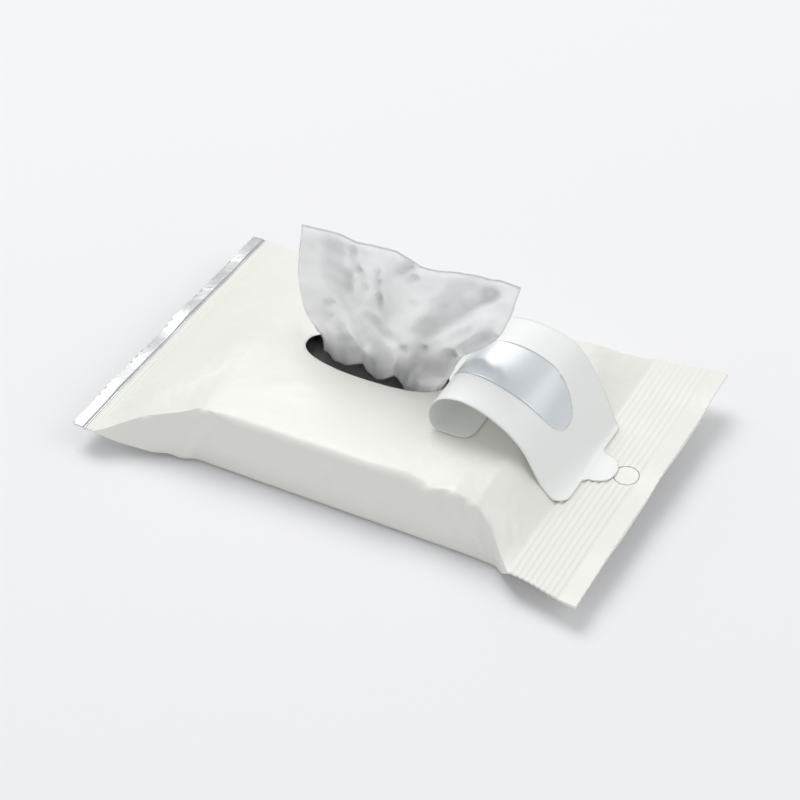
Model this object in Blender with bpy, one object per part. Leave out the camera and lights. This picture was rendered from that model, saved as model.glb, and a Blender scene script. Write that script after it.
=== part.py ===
"""Pack of moist cleansing sheets in a pillow pouch, opened at its peel-back label.

X runs along the pack from its narrow end seal to its wide ribbed one, Y across it and Z up.
The origin is under the middle of the pack, on the surface that it lies on.
"""

import math

import bmesh
import bpy
from mathutils import Vector

# Laminated film and the clearance between pieces that touch
FILM = 0.0003
SEAT = 0.0003

# Folded sheets: two limbs of doubled cloth, joined by one round fold
SHEET_COUNT = 9
SHEET_LENGTH = 0.0915
SHEET_WIDTH = 0.080
LIMB = 0.00065
LIMB_SLIT = 0.0001

# Pillow pouch
SIDE_ROOM = 0.004
HEADSPACE = 0.0042
CROWN = 0.0013
FILM_SLACK = 0.0023
NARROW_SEAL = 0.008
NARROW_SHOULDER = 0.0305
WIDE_SHOULDER = 0.015
WIDE_SEAL = 0.023
SEAL_LIFT = 0.0093
SEAL_TILT = 0.0020
CORNER_CURL = 0.0014
PANEL_BULGE = 0.0008

# Crimped end seals
RIB_COUNT = 9
RIB_PITCH = 0.0019
RIB_HEIGHT = 0.00035
GROOVE_COUNT = 2
GROOVE_PITCH = 0.0015
GROOVE_DEPTH = 0.0003

# Fin seam folded flat under the pack
FIN_WIDTH = 0.010
FIN_OFFSET = -0.004
FIN_DEPTH = 0.0006
FIN_GROOVE = 0.0006

# Dispensing hole, and the oval cut out of it
HOLE_LENGTH = 0.048
HOLE_WIDTH = 0.0178
HOLE_X = -0.009
HOLE_Y = 0.0005
OVAL_POWER = 2.3

# Round hang hole, cut but for its nicks
HANG_HOLE = 0.0076
HANG_KERF = 0.0004
HANG_NICK = 0.0012
HANG_NICKS = 3
HANG_HOLE_INSET = 0.0095

# Peel-back label
LABEL_LENGTH = 0.082
LABEL_WIDTH = 0.041
LABEL_FILM = 0.0003
LABEL_CORNER = 0.005
LABEL_FOLD_X = 0.0195
LABEL_STRIP = 0.018
TAB_LENGTH = 0.0074
TAB_WIDTH = 0.0126
TAB_SHIFT = -0.0008
TAB_POWER = 2.4

# Sheet drawn half out of the hole
CLOTH = 0.0009
CLOTH_BASE_LENGTH = 0.042
CLOTH_X = -0.0075
CLOTH_HOOK = 0.0038
CLOTH_LUMP = 0.0026
CLOTH_PLEATS = 3.4
CLOTH_PLEAT_DEPTH = 0.0008
CLOTH_GATHER = 0.0006
CLOTH_FOOT = 0.020
CLOTH_TOP = 0.0664

STACK_BASE = FILM + FIN_DEPTH + SEAT
STACK_HEIGHT = SHEET_COUNT * (2 * LIMB + LIMB_SLIT) + (SHEET_COUNT - 1) * SEAT
STACK_TOP = STACK_BASE + STACK_HEIGHT
BODY_TOP = STACK_TOP + HEADSPACE + FILM
BODY_WIDTH = SHEET_WIDTH + 2 * SIDE_ROOM
FLAT_WIDTH = BODY_WIDTH + BODY_TOP + FILM_SLACK
PACK_LENGTH = NARROW_SEAL + NARROW_SHOULDER + SHEET_LENGTH + WIDE_SHOULDER + WIDE_SEAL

NARROW_END = -PACK_LENGTH / 2
NARROW_LINE = NARROW_END + NARROW_SEAL
STACK_START = NARROW_LINE + NARROW_SHOULDER
STACK_END = STACK_START + SHEET_LENGTH
WIDE_LINE = STACK_END + WIDE_SHOULDER
WIDE_END = PACK_LENGTH / 2
HALF_WIDTH = FLAT_WIDTH / 2
DRAW_IN = (FLAT_WIDTH - BODY_WIDTH) / 2
CLOTH_START = BODY_TOP + CROWN / 2

# Lines that run along the pouch. The first number of a point is its place: 0 to 1 on the narrow
# shoulder, 1 to 2 on the stack and 2 to 3 on the wide shoulder. INSET lines give the way in from
# the flat edge as a share of DRAW_IN, RISE lines the share of the height from the seal up to the
# body's top, and DROP lines the share of the way from the seal down to the surface it lies on.
NEAR_CREASE_INSET = ((0, 0.09), (0.16, 0.43), (0.43, 0.78), (0.79, 1.0), (1.03, 1.11), (1.63, 1.13),
                     (1.75, 1.29), (1.83, 1.2), (1.91, 1.24), (2.1, 1.17), (2.4, 1.04), (3, 0.35))
NEAR_CREASE_RISE = ((0, 0), (0.16, 0.1), (0.43, 0.42), (0.79, 0.73), (1.03, 1.03), (1.1, 0.98),
                    (1.63, 1), (1.75, 0.94), (1.83, 0.88), (1.91, 1.01), (1.98, 0.88),
                    (2.1, 0.72), (2.4, 0.42), (2.8, 0.05), (3, 0))
NEAR_BASE_INSET = ((0, 0.09), (0.16, 0.3), (0.5, 0.61), (0.95, 1), (2.5, 1), (3, 0.35))
NEAR_BASE_DROP = ((0, 0), (0.16, 0.4), (0.5, 0.75), (0.95, 1), (2.5, 1), (2.75, 0.7), (3, 0))
FAR_CREASE_INSET = ((0, 0.17), (0.2, 0.35), (0.43, 0.52), (0.79, 0.96), (1.05, 1.13), (1.8, 1.3),
                    (2, 1.09), (2.4, 0.7), (3, 0.17))
FAR_CREASE_RISE = ((0, 0), (0.2, 0.12), (0.43, 0.3), (0.79, 0.7), (1.05, 0.97), (1.8, 0.97),
                   (2, 0.88), (2.4, 0.4), (3, 0))
FAR_BASE_INSET = ((0, 0.17), (0.5, 0.52), (0.95, 1), (2.4, 1), (3, 0.17))
FAR_BASE_DROP = NEAR_BASE_DROP
CROWN_RISE = ((0, 0), (0.16, 0.3), (0.43, 0.62), (0.79, 0.91), (1.05, 1), (2, 0.99), (2.25, 0.85), (3, 0))
KEEL_DROP = ((0, 0), (0.16, 0.35), (0.5, 0.8), (0.9, 1), (2.5, 1), (2.75, 0.65), (3, 0))

# Label at its two long edges, in shares of its length: each point's distance past the fold line
# and its height over the film
LABEL_NEAR_EDGE = ((0.165, 0), (0.03, 0.004), (0.005, 0.032), (0, 0.067), (0.027, 0.129),
                   (0.079, 0.157), (0.146, 0.163), (0.244, 0.135), (0.354, 0.061),
                   (0.445, -0.091), (0.5, -0.144), (0.543, -0.146))
LABEL_FAR_EDGE = ((0.165, 0), (0.03, 0.004), (0.005, 0.034), (0, 0.079), (0.022, 0.146),
                  (0.073, 0.188), (0.171, 0.205), (0.28, 0.19), (0.372, 0.14),
                  (0.457, 0.03), (0.512, -0.091), (0.543, -0.156))

# Drawn sheet in the hole, from its left end to its right one: Y from the hole's middle as a share
# of the hole's width
CLOTH_NECK = ((0, 0.14), (0.12, 0.028), (0.3, 0.073), (0.46, 0.006), (0.64, 0.017), (0.78, -0.163),
              (0.9, -0.22), (1, -0.096))

# Outline of the drawn sheet: height over the hole as a share of its own height, then X past each
# end, in shares of its length in the hole
CLOTH_LEFT = ((0, 0), (0.06, -0.03), (0.2, -0.115), (0.33, -0.155), (0.54, -0.175), (0.77, -0.165),
              (1, -0.125))
CLOTH_RIGHT = ((0, 0), (0.04, 0.036), (0.15, 0.083), (0.25, 0.13), (0.34, 0.19), (0.38, 0.262),
               (0.43, 0.317), (0.52, 0.405), (0.57, 0.46), (0.67, 0.498), (0.78, 0.536),
               (0.89, 0.564), (1, 0.593))
CLOTH_EDGE = ((0, -0.036), (0.2, -0.018), (0.27, -0.04), (0.45, -0.015), (0.52, -0.06),
              (0.58, -0.085), (0.66, -0.07), (0.75, -0.036), (1, 0))

# Main creases of the drawn sheet, from the middle of its length in the hole, in shares of that
# length: (X, height) points, the height of the crease and its width to each side
CLOTH_CREASES = (
    (((-0.4, 1), (-0.386, 0.776), (-0.302, 0.52), (-0.188, 0.27), (-0.102, 0.06)), 0.05, 0.12),
    (((0.988, 1.02), (0.7, 0.767), (0.45, 0.517), (0.37, 0.433), (0.274, 0.29)), 0.06, 0.09),
    (((0.833, 1.06), (0.633, 0.85), (0.462, 0.67), (0.38, 0.548)), 0.03, 0.085),
    (((0.962, 0.826), (0.624, 0.517), (0.517, 0.374), (0.424, 0.193)), -0.028, 0.085),
    (((0.94, 0.602), (0.807, 0.5), (0.71, 0.398), (0.619, 0.29)), 0.038, 0.06),
    (((0.002, 0.948), (0.024, 0.84), (0.028, 0.59), (0.038, 0.457)), -0.028, 0.05),
    (((-0.155, 0.445), (0.048, 0.3), (0.193, 0.2)), 0.026, 0.07),
)
# How far a fold that stands forward is over to the right and up, by its way forward
CLOTH_LEAN = (0.56, 0.825)


def smooth(t):
    """Ease from 0 to 1."""
    t = min(max(t, 0.0), 1.0)
    return t * t * (3 - 2 * t)


def along(points, t):
    """Value at t on a polyline of (place, value) points."""
    if t <= points[0][0]:
        return points[0][1]
    for (t0, a), (t1, b) in zip(points, points[1:]):
        if t <= t1:
            return a + (b - a) * (t - t0) / (t1 - t0)
    return points[-1][1]


def place_of(x):
    """Place of x on the lines that run along the pouch."""
    marks = (NARROW_LINE, STACK_START, STACK_END, WIDE_LINE)
    return along([(mark, index) for index, mark in enumerate(marks)], x)


def x_of(place):
    """X of a place on the lines that run along the pouch."""
    marks = (NARROW_LINE, STACK_START, STACK_END, WIDE_LINE)
    return along(list(enumerate(marks)), place)


def seal_height(x, y):
    """Middle of the two films of an end seal. Both seals climb from the near side to the far one."""
    wide = smooth((x - STACK_START) / SHEET_LENGTH)
    side = y / HALF_WIDTH
    out = max(0.0, (x - WIDE_LINE) / WIDE_SEAL)
    curl = CORNER_CURL * out * smooth((side - 0.6) / 0.4)
    return SEAL_LIFT + SEAL_TILT * side * (0.5 + 0.5 * wide) + curl


def crimp(x):
    """Height of the ribs of the wide seal and of the grooves of the narrow one at x."""
    ribs = (x - WIDE_LINE) / RIB_PITCH
    if 0 < ribs < RIB_COUNT:
        return RIB_HEIGHT * (1 - abs(2 * (ribs % 1) - 1))
    grooves = (NARROW_LINE - x) / GROOVE_PITCH
    if 0 < grooves < GROOVE_COUNT:
        return -GROOVE_DEPTH * (1 - abs(2 * (grooves % 1) - 1))
    return 0.0


def narrowed(top, bottom, inset):
    """Two facing heights brought together by the film on each side."""
    middle, half = (top + bottom) / 2, (top - bottom) / 2
    half = max(half - inset, 0.3 * half) if inset else half
    return middle + half, middle - half


def edge_knots(x, side, inset):
    """Crease and base of one side panel at x, each as (y, z). Side is -1 near and 1 far."""
    place = place_of(x)
    near = side < 0
    crease_in = DRAW_IN * along(NEAR_CREASE_INSET if near else FAR_CREASE_INSET, place)
    base_in = DRAW_IN * along(NEAR_BASE_INSET if near else FAR_BASE_INSET, place)
    rise = along(NEAR_CREASE_RISE if near else FAR_CREASE_RISE, place)
    drop = along(NEAR_BASE_DROP if near else FAR_BASE_DROP, place)
    flare = smooth((x - WIDE_LINE) / WIDE_SEAL)
    crease_in, base_in = crease_in * (1 - flare), base_in * (1 - flare)
    crease_y = side * (HALF_WIDTH - crease_in - inset)
    base_y = side * (HALF_WIDTH - base_in - inset)
    seal = seal_height(x, side * HALF_WIDTH)
    top = seal + FILM + rise * (BODY_TOP - seal - FILM)
    bottom = (seal - FILM) * (1 - drop)
    top, bottom = narrowed(top, bottom, inset)
    return (crease_y, top), (base_y, bottom)


def top_height(x, y, inset=0.0):
    """Height of the top film over a point of the plan."""
    (near_y, near_z), _ = edge_knots(x, -1, inset)
    (far_y, far_z), _ = edge_knots(x, 1, inset)
    share = (y - near_y) / (far_y - near_y)
    share = min(max(share, 0.0), 1.0)
    seal = seal_height(x, y)
    rise = along(CROWN_RISE, place_of(x))
    drop = along(KEEL_DROP, place_of(x))
    crown = seal + FILM + rise * (BODY_TOP + CROWN - seal - FILM)
    keel = (seal - FILM) * (1 - drop)
    crown, _ = narrowed(crown, keel, inset)
    edge = near_z + (far_z - near_z) * share
    return edge + (crown - edge) * (1 - abs(2 * share - 1) ** 3) + crimp(x)


def bottom_height(x, y, inset=0.0):
    """Height of the bottom film, with the fin seam in its shallow valley."""
    _, (near_y, near_z) = edge_knots(x, -1, inset)
    _, (far_y, far_z) = edge_knots(x, 1, inset)
    share = (y - near_y) / (far_y - near_y)
    seal = seal_height(x, y)
    rise = along(CROWN_RISE, place_of(x))
    drop = along(KEEL_DROP, place_of(x))
    crown = seal + FILM + rise * (BODY_TOP + CROWN - seal - FILM)
    keel = (seal - FILM) * (1 - drop)
    _, keel = narrowed(crown, keel, inset)
    edge = near_z + (far_z - near_z) * share
    across = abs(y - FIN_OFFSET) - FIN_WIDTH / 2
    if inset:
        valley = FIN_DEPTH if across < 2 * FIN_GROOVE else 0.0
    else:
        valley = FIN_DEPTH * max(0.0, 1 - abs(across) / FIN_GROOVE)
    return edge + (keel - edge) * (1 - abs(2 * share - 1) ** 4) + valley * drop ** 4 + crimp(x)


def section(x, inset=0.0):
    """Closed ring of points round the pouch at x."""
    near_crease, near_base = edge_knots(x, -1, inset)
    far_crease, far_base = edge_knots(x, 1, inset)
    top_shares = (0, 0.03, 0.08, 0.16, 0.26, 0.36, 0.46, 0.54, 0.64, 0.74, 0.84, 0.92, 0.97, 1)
    ring = []
    for share in top_shares:
        y = near_crease[0] + (far_crease[0] - near_crease[0]) * share
        ring.append(Vector((x, y, top_height(x, y, inset))))
    ring += panel(x, far_crease, far_base)
    low, high = FIN_OFFSET - FIN_WIDTH / 2, FIN_OFFSET + FIN_WIDTH / 2
    places = [far_base[0], far_base[0] * 0.8, far_base[0] * 0.45]
    for edge in (high, low):
        places += [edge + FIN_GROOVE, edge, edge - FIN_GROOVE]
    places += [near_base[0] * 0.45, near_base[0] * 0.8, near_base[0]]
    ring += [Vector((x, y, bottom_height(x, y, inset))) for y in places]
    ring += panel(x, near_base, near_crease)
    return ring


def panel(x, start, end):
    """Inner points of a side panel from one knot to the other, bulged outwards."""
    side = math.copysign(1.0, start[0])
    bulge = PANEL_BULGE * abs(end[1] - start[1]) / BODY_TOP
    points = []
    for share in (0.25, 0.5, 0.75):
        y = start[0] + (end[0] - start[0]) * share + side * bulge * math.sin(math.pi * share)
        z = start[1] + (end[1] - start[1]) * share + crimp(x)
        points.append(Vector((x, y, z)))
    return points


def steps(start, end, count):
    """Evenly spaced values from start to end, both included."""
    return [start + (end - start) * index / count for index in range(count + 1)]


def material(name, colour, roughness, metallic=0.0):
    """Principled material of one colour."""
    made = bpy.data.materials.new(name)
    made.use_nodes = True
    shader = made.node_tree.nodes["Principled BSDF"]
    shader.inputs["Base Color"].default_value = (*colour, 1.0)
    shader.inputs["Roughness"].default_value = roughness
    shader.inputs["Metallic"].default_value = metallic
    return made


def add_object(name, mesh, finish=None):
    """Object from a bmesh, shaded smooth but for its sharp edges."""
    bmesh.ops.recalc_face_normals(mesh, faces=mesh.faces)
    data = bpy.data.meshes.new(name)
    mesh.to_mesh(data)
    mesh.free()
    data.shade_smooth()
    data.set_sharp_from_angle(angle=math.radians(40))
    made = bpy.data.objects.new(name, data)
    bpy.context.collection.objects.link(made)
    if finish:
        data.materials.append(finish)
    return made


def hide_cutter(cutter):
    """Marks an object that only cuts another."""
    cutter.hide_render = True
    cutter.display_type = "WIRE"


def cut(target, cutter):
    """Takes the cutter's shape out of the target."""
    hide_cutter(cutter)
    boolean = target.modifiers.new(cutter.name, "BOOLEAN")
    boolean.operation = "DIFFERENCE"
    boolean.solver = "EXACT"
    boolean.object = cutter


def loft(name, rings, finish=None):
    """Closed tube through equal rings, with a flat cap at each end."""
    mesh = bmesh.new()
    loops = [[mesh.verts.new(point) for point in ring] for ring in rings]
    for first, second in zip(loops, loops[1:]):
        for index in range(len(first)):
            after = (index + 1) % len(first)
            mesh.faces.new((first[index], first[after], second[after], second[index]))
    mesh.faces.new(list(reversed(loops[0])))
    mesh.faces.new(loops[-1])
    return add_object(name, mesh, finish)


def prism(name, outline, low, high, finish=None):
    """Upright prism on an outline of (x, y) points."""
    mesh = bmesh.new()
    face = mesh.faces.new([mesh.verts.new((x, y, low)) for x, y in outline])
    raised = bmesh.ops.extrude_face_region(mesh, geom=[face])
    top = [item for item in raised["geom"] if isinstance(item, bmesh.types.BMVert)]
    bmesh.ops.translate(mesh, verts=top, vec=(0, 0, high - low))
    return add_object(name, mesh, finish)


def oval(length, width, count):
    """Outline of the hole, a superellipse about the origin."""
    outline = []
    for index in range(count):
        angle = 2 * math.pi * index / count
        c, s = math.cos(angle), math.sin(angle)
        x = math.copysign(abs(c) ** (2 / OVAL_POWER), c) * length / 2
        y = math.copysign(abs(s) ** (2 / OVAL_POWER), s) * width / 2
        outline.append((x, y))
    return outline


def ring_sector(centre, radius, kerf, start, end, count=8):
    """Outline of a part of a ring, for a cut along a circle."""
    outer = [(radius + kerf / 2, angle) for angle in steps(start, end, count)]
    inner = [(radius - kerf / 2, angle) for angle in steps(end, start, count)]
    return [(centre[0] + r * math.cos(a), centre[1] + r * math.sin(a)) for r, a in outer + inner]


def build_pouch():
    """Film pouch: filled body, two shoulders, and the two crimped end seals."""
    film = material("satin_white_film", (0.86, 0.86, 0.84), 0.35)
    body_x = [x_of(place) for place in (
        0, 0.08, 0.16, 0.3, 0.43, 0.6, 0.79, 0.92, 1.03, 1.1, 1.25, 1.42, 1.55, 1.66, 1.75, 1.83,
        1.91, 1.98, 2.1, 2.25, 2.4, 2.6, 2.8, 2.92, 3)]
    half_groove = GROOVE_PITCH / 2
    narrow_x = [NARROW_LINE - half_groove * index for index in range(2 * GROOVE_COUNT, 0, -1)]
    wide_x = [WIDE_LINE + RIB_PITCH / 2 * index for index in range(1, 2 * RIB_COUNT + 1)]
    outer_x = [NARROW_END] + narrow_x + body_x + wide_x + [WIDE_END]
    pouch = loft("film_pouch", [section(x) for x in outer_x], film)
    inner_x = body_x[1:-1]
    cut(pouch, loft("pouch_inside", [section(x, FILM) for x in inner_x]))
    hole = [(HOLE_X + x, HOLE_Y + y) for x, y in oval(HOLE_LENGTH, HOLE_WIDTH, 36)]
    cut(pouch, prism("hole_cutter", hole, STACK_TOP, BODY_TOP + 2 * HEADSPACE))
    centre = (WIDE_END - HANG_HOLE_INSET, 0.0)
    nick = HANG_NICK / (HANG_HOLE / 2)
    for index in range(HANG_NICKS):
        start = 2 * math.pi * index / HANG_NICKS + nick / 2
        end = 2 * math.pi * (index + 1) / HANG_NICKS - nick / 2
        outline = ring_sector(centre, HANG_HOLE / 2, HANG_KERF, start, end)
        cut(pouch, prism(f"hang_hole_cutter_{index + 1}", outline, 0.0, BODY_TOP))
    return pouch


def build_sheets():
    """Stack of folded sheets, with the folds at the two sides by turns."""
    pitch = 2 * LIMB + LIMB_SLIT + SEAT
    middle = (STACK_START + STACK_END) / 2
    radius = LIMB + LIMB_SLIT / 2
    for number in range(SHEET_COUNT):
        cloth = material(f"folded_cloth_{number + 1}", (0.83, 0.84, 0.85), 0.95)
        side = 1 if number % 2 else -1
        centre_z = STACK_BASE + radius + number * pitch
        straight = SHEET_WIDTH / 2 - radius
        outline = [(-SHEET_WIDTH / 2, radius)]
        outline += [(straight + radius * math.sin(a), radius * math.cos(a))
                    for a in steps(0, math.pi, 8)]
        outline += [(-SHEET_WIDTH / 2, -radius), (-SHEET_WIDTH / 2, -LIMB_SLIT / 2)]
        outline += [(straight, -LIMB_SLIT / 2), (straight, LIMB_SLIT / 2)]
        outline += [(-SHEET_WIDTH / 2, LIMB_SLIT / 2)]
        mesh = bmesh.new()
        start = middle - SHEET_LENGTH / 2
        face = mesh.faces.new([mesh.verts.new((start, side * y, centre_z + z)) for y, z in outline])
        drawn = bmesh.ops.extrude_face_region(mesh, geom=[face])
        end = [item for item in drawn["geom"] if isinstance(item, bmesh.types.BMVert)]
        bmesh.ops.translate(mesh, verts=end, vec=(SHEET_LENGTH, 0, 0))
        add_object(f"folded_sheet_{number + 1:02d}", mesh, cloth)


def curve_point(points, share):
    """Point on a smooth curve through (x, z) points, at a share of its length."""
    spans = [math.dist(a, b) for a, b in zip(points, points[1:])]
    distance = min(max(share, 0.0), 1.0) * sum(spans)
    index = 0
    while index < len(spans) - 1 and distance > spans[index]:
        distance -= spans[index]
        index += 1
    t = distance / spans[index]
    p = [points[min(max(index + k, 0), len(points) - 1)] for k in (-1, 0, 1, 2)]
    weights = (
        -0.5 * t + t ** 2 - 0.5 * t ** 3,
        1 - 2.5 * t ** 2 + 1.5 * t ** 3,
        0.5 * t + 2 * t ** 2 - 1.5 * t ** 3,
        -0.5 * t ** 2 + 0.5 * t ** 3,
    )
    return tuple(sum(w * q[axis] for w, q in zip(weights, p)) for axis in (0, 1))


def label_middle(s, t):
    """Middle of the label's film at s along it from its stuck end and t across it."""
    far = t / LABEL_WIDTH + 0.5
    near_point = curve_point(LABEL_NEAR_EDGE, s / LABEL_LENGTH)
    far_point = curve_point(LABEL_FAR_EDGE, s / LABEL_LENGTH)
    x = LABEL_FOLD_X + LABEL_LENGTH * (near_point[0] + (far_point[0] - near_point[0]) * far)
    x += max(0.0, s - LABEL_LENGTH)
    lift = LABEL_LENGTH * (near_point[1] + (far_point[1] - near_point[1]) * far)
    z = BODY_TOP + CROWN + lift
    floor = top_height(x, t) - crimp(x) + RIB_HEIGHT * smooth((x - STACK_END) / WIDE_SHOULDER)
    return Vector((x, t, max(z, floor + SEAT + LABEL_FILM)))


def label_point(s, t, offset):
    """Point over the label's sticky side, which faces up on the arch."""
    step = 0.0002
    along_s = label_middle(s + step, t) - label_middle(s - step, t)
    along_t = label_middle(s, t + step) - label_middle(s, t - step)
    return label_middle(s, t) + along_s.cross(along_t).normalized() * offset


def bent_sheet(name, outline, s_cuts, t_cuts, offset, thickness, finish):
    """Flat die-cut shape, given as (s, t) points, bent along the label's path."""
    mesh = bmesh.new()
    mesh.faces.new([mesh.verts.new((s, t, 0)) for s, t in outline])
    for axis, cuts in (((1, 0, 0), s_cuts), ((0, 1, 0), t_cuts)):
        for place in cuts:
            bmesh.ops.bisect_plane(
                mesh, geom=mesh.verts[:] + mesh.edges[:] + mesh.faces[:], dist=1e-6,
                plane_co=Vector(axis) * place, plane_no=axis)
    for vert in mesh.verts:
        vert.co = label_point(vert.co.x, vert.co.y, offset)
    made = add_object(name, mesh, finish)
    solid = made.modifiers.new("thickness", "SOLIDIFY")
    solid.thickness = thickness
    solid.offset = 0.0
    return made


def corner(centre, radius, start, end, count=5):
    """Arc of a rounded corner, in degrees."""
    return [(centre[0] + radius * math.cos(math.radians(a)),
             centre[1] + radius * math.sin(math.radians(a))) for a in steps(start, end, count)]


def build_label():
    """Peel-back label, folded over itself to the right, with its lift tab on the wide seal."""
    half, radius = LABEL_WIDTH / 2, LABEL_CORNER
    outline = corner((radius, -half + radius), radius, 180, 270)
    outline += corner((LABEL_LENGTH - radius, -half + radius), radius, -90, 0)
    outline += tab_outline()
    outline += corner((LABEL_LENGTH - radius, half - radius), radius, 0, 90)
    outline += corner((radius, half - radius), radius, 90, 180)
    s_cuts = steps(0, LABEL_LENGTH, 34)[1:-1] + [LABEL_LENGTH, LABEL_LENGTH + TAB_LENGTH / 2]
    t_cuts = steps(-half, half, 8)[1:-1]
    paper = material("white_label", (0.90, 0.92, 0.92), 0.4)
    bent_sheet("resealable_label", outline, s_cuts, t_cuts, 0.0, LABEL_FILM, paper)

    piece = oval(HOLE_LENGTH, HOLE_WIDTH, 32)
    outline = [(LABEL_STRIP + HOLE_LENGTH / 2 - x, HOLE_Y + y) for x, y in piece]
    s_cuts = steps(LABEL_STRIP, LABEL_STRIP + HOLE_LENGTH, 18)[1:-1]
    t_cuts = (HOLE_Y - HOLE_WIDTH / 6, HOLE_Y + HOLE_WIDTH / 6)
    foil = material("foil_side_of_film", (0.72, 0.76, 0.79), 0.2, 1.0)
    offset = LABEL_FILM / 2 + SEAT + FILM / 2
    bent_sheet("hole_cut_out", outline, s_cuts, t_cuts, offset, FILM, foil)


def tab_outline():
    """Round lift tab from its near root to its far one."""
    points = []
    for angle in steps(-math.pi / 2, math.pi / 2, 12):
        across = math.copysign(abs(math.sin(angle)) ** (2 / TAB_POWER), angle)
        reach = TAB_LENGTH * abs(math.cos(angle)) ** (2 / TAB_POWER)
        points.append((LABEL_LENGTH + reach, TAB_SHIFT + across * TAB_WIDTH / 2))
    return points


def to_segment(point, start, end):
    """Distance from a point to a straight segment."""
    leg = (end[0] - start[0], end[1] - start[1])
    way = (point[0] - start[0], point[1] - start[1])
    share = (way[0] * leg[0] + way[1] * leg[1]) / (leg[0] ** 2 + leg[1] ** 2)
    share = min(max(share, 0.0), 1.0)
    return math.hypot(way[0] - share * leg[0], way[1] - share * leg[1])


def crease_height(x, rise):
    """How far the main creases stand forward, in shares of the sheet's length in the hole."""
    height = 0.0
    for points, lift, reach in CLOTH_CREASES:
        distance = min(to_segment((x, rise), a, b) for a, b in zip(points, points[1:]))
        height += lift * smooth(1 - distance / reach)
    return height


def cloth_point(u, v):
    """Point of the drawn sheet: u from left to right, v from the hole up to its free edge."""
    half = CLOTH_BASE_LENGTH / 2
    left = -half + CLOTH_BASE_LENGTH * along(CLOTH_LEFT, v)
    right = half + CLOTH_BASE_LENGTH * along(CLOTH_RIGHT, v)
    across = left + (right - left) * u
    rise = (CLOTH_TOP - CLOTH_START + CLOTH_BASE_LENGTH * along(CLOTH_EDGE, u)) * v
    low = 1 - smooth(v / 0.42)
    swell = math.sin(math.pi * u) ** 0.4 if 0 < u < 1 else 0.0
    y = low * (HOLE_Y + HOLE_WIDTH * along(CLOTH_NECK, u))
    y -= CLOTH_LUMP * smooth(1 - abs(v - 0.12) / 0.11) * smooth(1 - abs(u - 0.86) / 0.14)
    y += CLOTH_HOOK * smooth(v / 0.5) * (max(0.0, 1 - u / 0.24) ** 2
                                         + 0.5 * max(0.0, (u - 0.85) / 0.15) ** 2 - 0.12)
    sway = 0.05 * math.sin(5 * v + 2)
    y += CLOTH_PLEAT_DEPTH * (0.9 + low) * swell * math.sin(2 * math.pi * (CLOTH_PLEATS * u + sway) + 0.6)
    y += CLOTH_GATHER * (0.1 + low) * swell * math.sin(2 * math.pi * (2.15 * CLOTH_PLEATS * u + 0.3 * v))
    scale = CLOTH_BASE_LENGTH
    y -= scale * crease_height(across / scale, rise / scale) * smooth(v / 0.15)
    lean = smooth(v / 0.3)
    x = CLOTH_X + across - CLOTH_LEAN[0] * y * lean
    return Vector((x, y, CLOTH_START + rise - CLOTH_LEAN[1] * y * lean))


def build_drawn_sheet():
    """Top sheet, drawn half out of the hole as a creased fan, with its foot on the stack."""
    seat = STACK_TOP + SEAT + CLOTH / 2
    mesh = bmesh.new()
    columns = steps(0, 1, 36)
    rows = []
    for reach in (1.0, 0.6, 0.3):
        rows.append([Vector((cloth_point(u, 0).x, HOLE_Y + CLOTH_FOOT * reach, seat))
                     for u in columns])
    for lift in (0.0, 0.5):
        height = seat + (CLOTH_START - seat) * lift
        rows.append([Vector((*cloth_point(u, 0).xy, height)) for u in columns])
    for v in (0, 0.07, 0.15, 0.24, 0.33, 0.42, 0.52, 0.62, 0.73, 0.83, 0.92, 1):
        rows.append([cloth_point(u, v) for u in columns])
    grid = [[mesh.verts.new(point) for point in row] for row in rows]
    for low, high in zip(grid, grid[1:]):
        for a, b, c, d in zip(low, low[1:], high[1:], high):
            mesh.faces.new((a, b, c, d))
    cloth = material("moist_cloth", (0.84, 0.85, 0.86), 0.95)
    made = add_object("drawn_sheet", mesh, cloth)
    solid = made.modifiers.new("thickness", "SOLIDIFY")
    solid.thickness = CLOTH
    solid.offset = 0.0


def main():
    for item in list(bpy.data.objects):
        bpy.data.objects.remove(item)
    build_pouch()
    build_label()
    build_drawn_sheet()
    build_sheets()


main()
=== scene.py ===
"""Looks of a pack of moist cleansing sheets: film pouch, peel-back label, foil cut-out and sheets.

Sizes are in millimetres. Meshes, lights and the camera are in metres, by the factor MM.
"""

import logging
import math
from dataclasses import dataclass, field
from enum import Enum
from typing import Callable, Sequence

import bmesh
import bpy
import numpy as np
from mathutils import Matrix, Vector, noise
from mathutils.bvhtree import BVHTree


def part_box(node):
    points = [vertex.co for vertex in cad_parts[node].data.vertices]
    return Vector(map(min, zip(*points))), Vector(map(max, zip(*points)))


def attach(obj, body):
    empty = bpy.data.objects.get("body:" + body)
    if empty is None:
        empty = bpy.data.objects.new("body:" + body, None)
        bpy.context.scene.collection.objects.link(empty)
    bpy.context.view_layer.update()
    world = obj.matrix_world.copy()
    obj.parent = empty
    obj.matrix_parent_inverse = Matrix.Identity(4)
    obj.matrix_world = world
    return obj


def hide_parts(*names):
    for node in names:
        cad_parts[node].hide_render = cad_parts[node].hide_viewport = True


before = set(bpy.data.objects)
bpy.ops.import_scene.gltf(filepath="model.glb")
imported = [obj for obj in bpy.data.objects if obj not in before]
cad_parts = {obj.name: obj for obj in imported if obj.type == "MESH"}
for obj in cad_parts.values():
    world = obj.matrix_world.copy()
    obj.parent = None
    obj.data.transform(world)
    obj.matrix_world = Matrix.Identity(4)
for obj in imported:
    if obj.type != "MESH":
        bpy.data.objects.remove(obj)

MM = 0.001
ROOT = "root"
log = logging.getLogger("pack")

Points = Sequence[tuple[float, float]]


class Lane(Enum):
    """The four sides of the pouch's section."""

    TOP = "top"
    FAR = "far"
    BOTTOM = "bottom"
    NEAR = "near"


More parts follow.
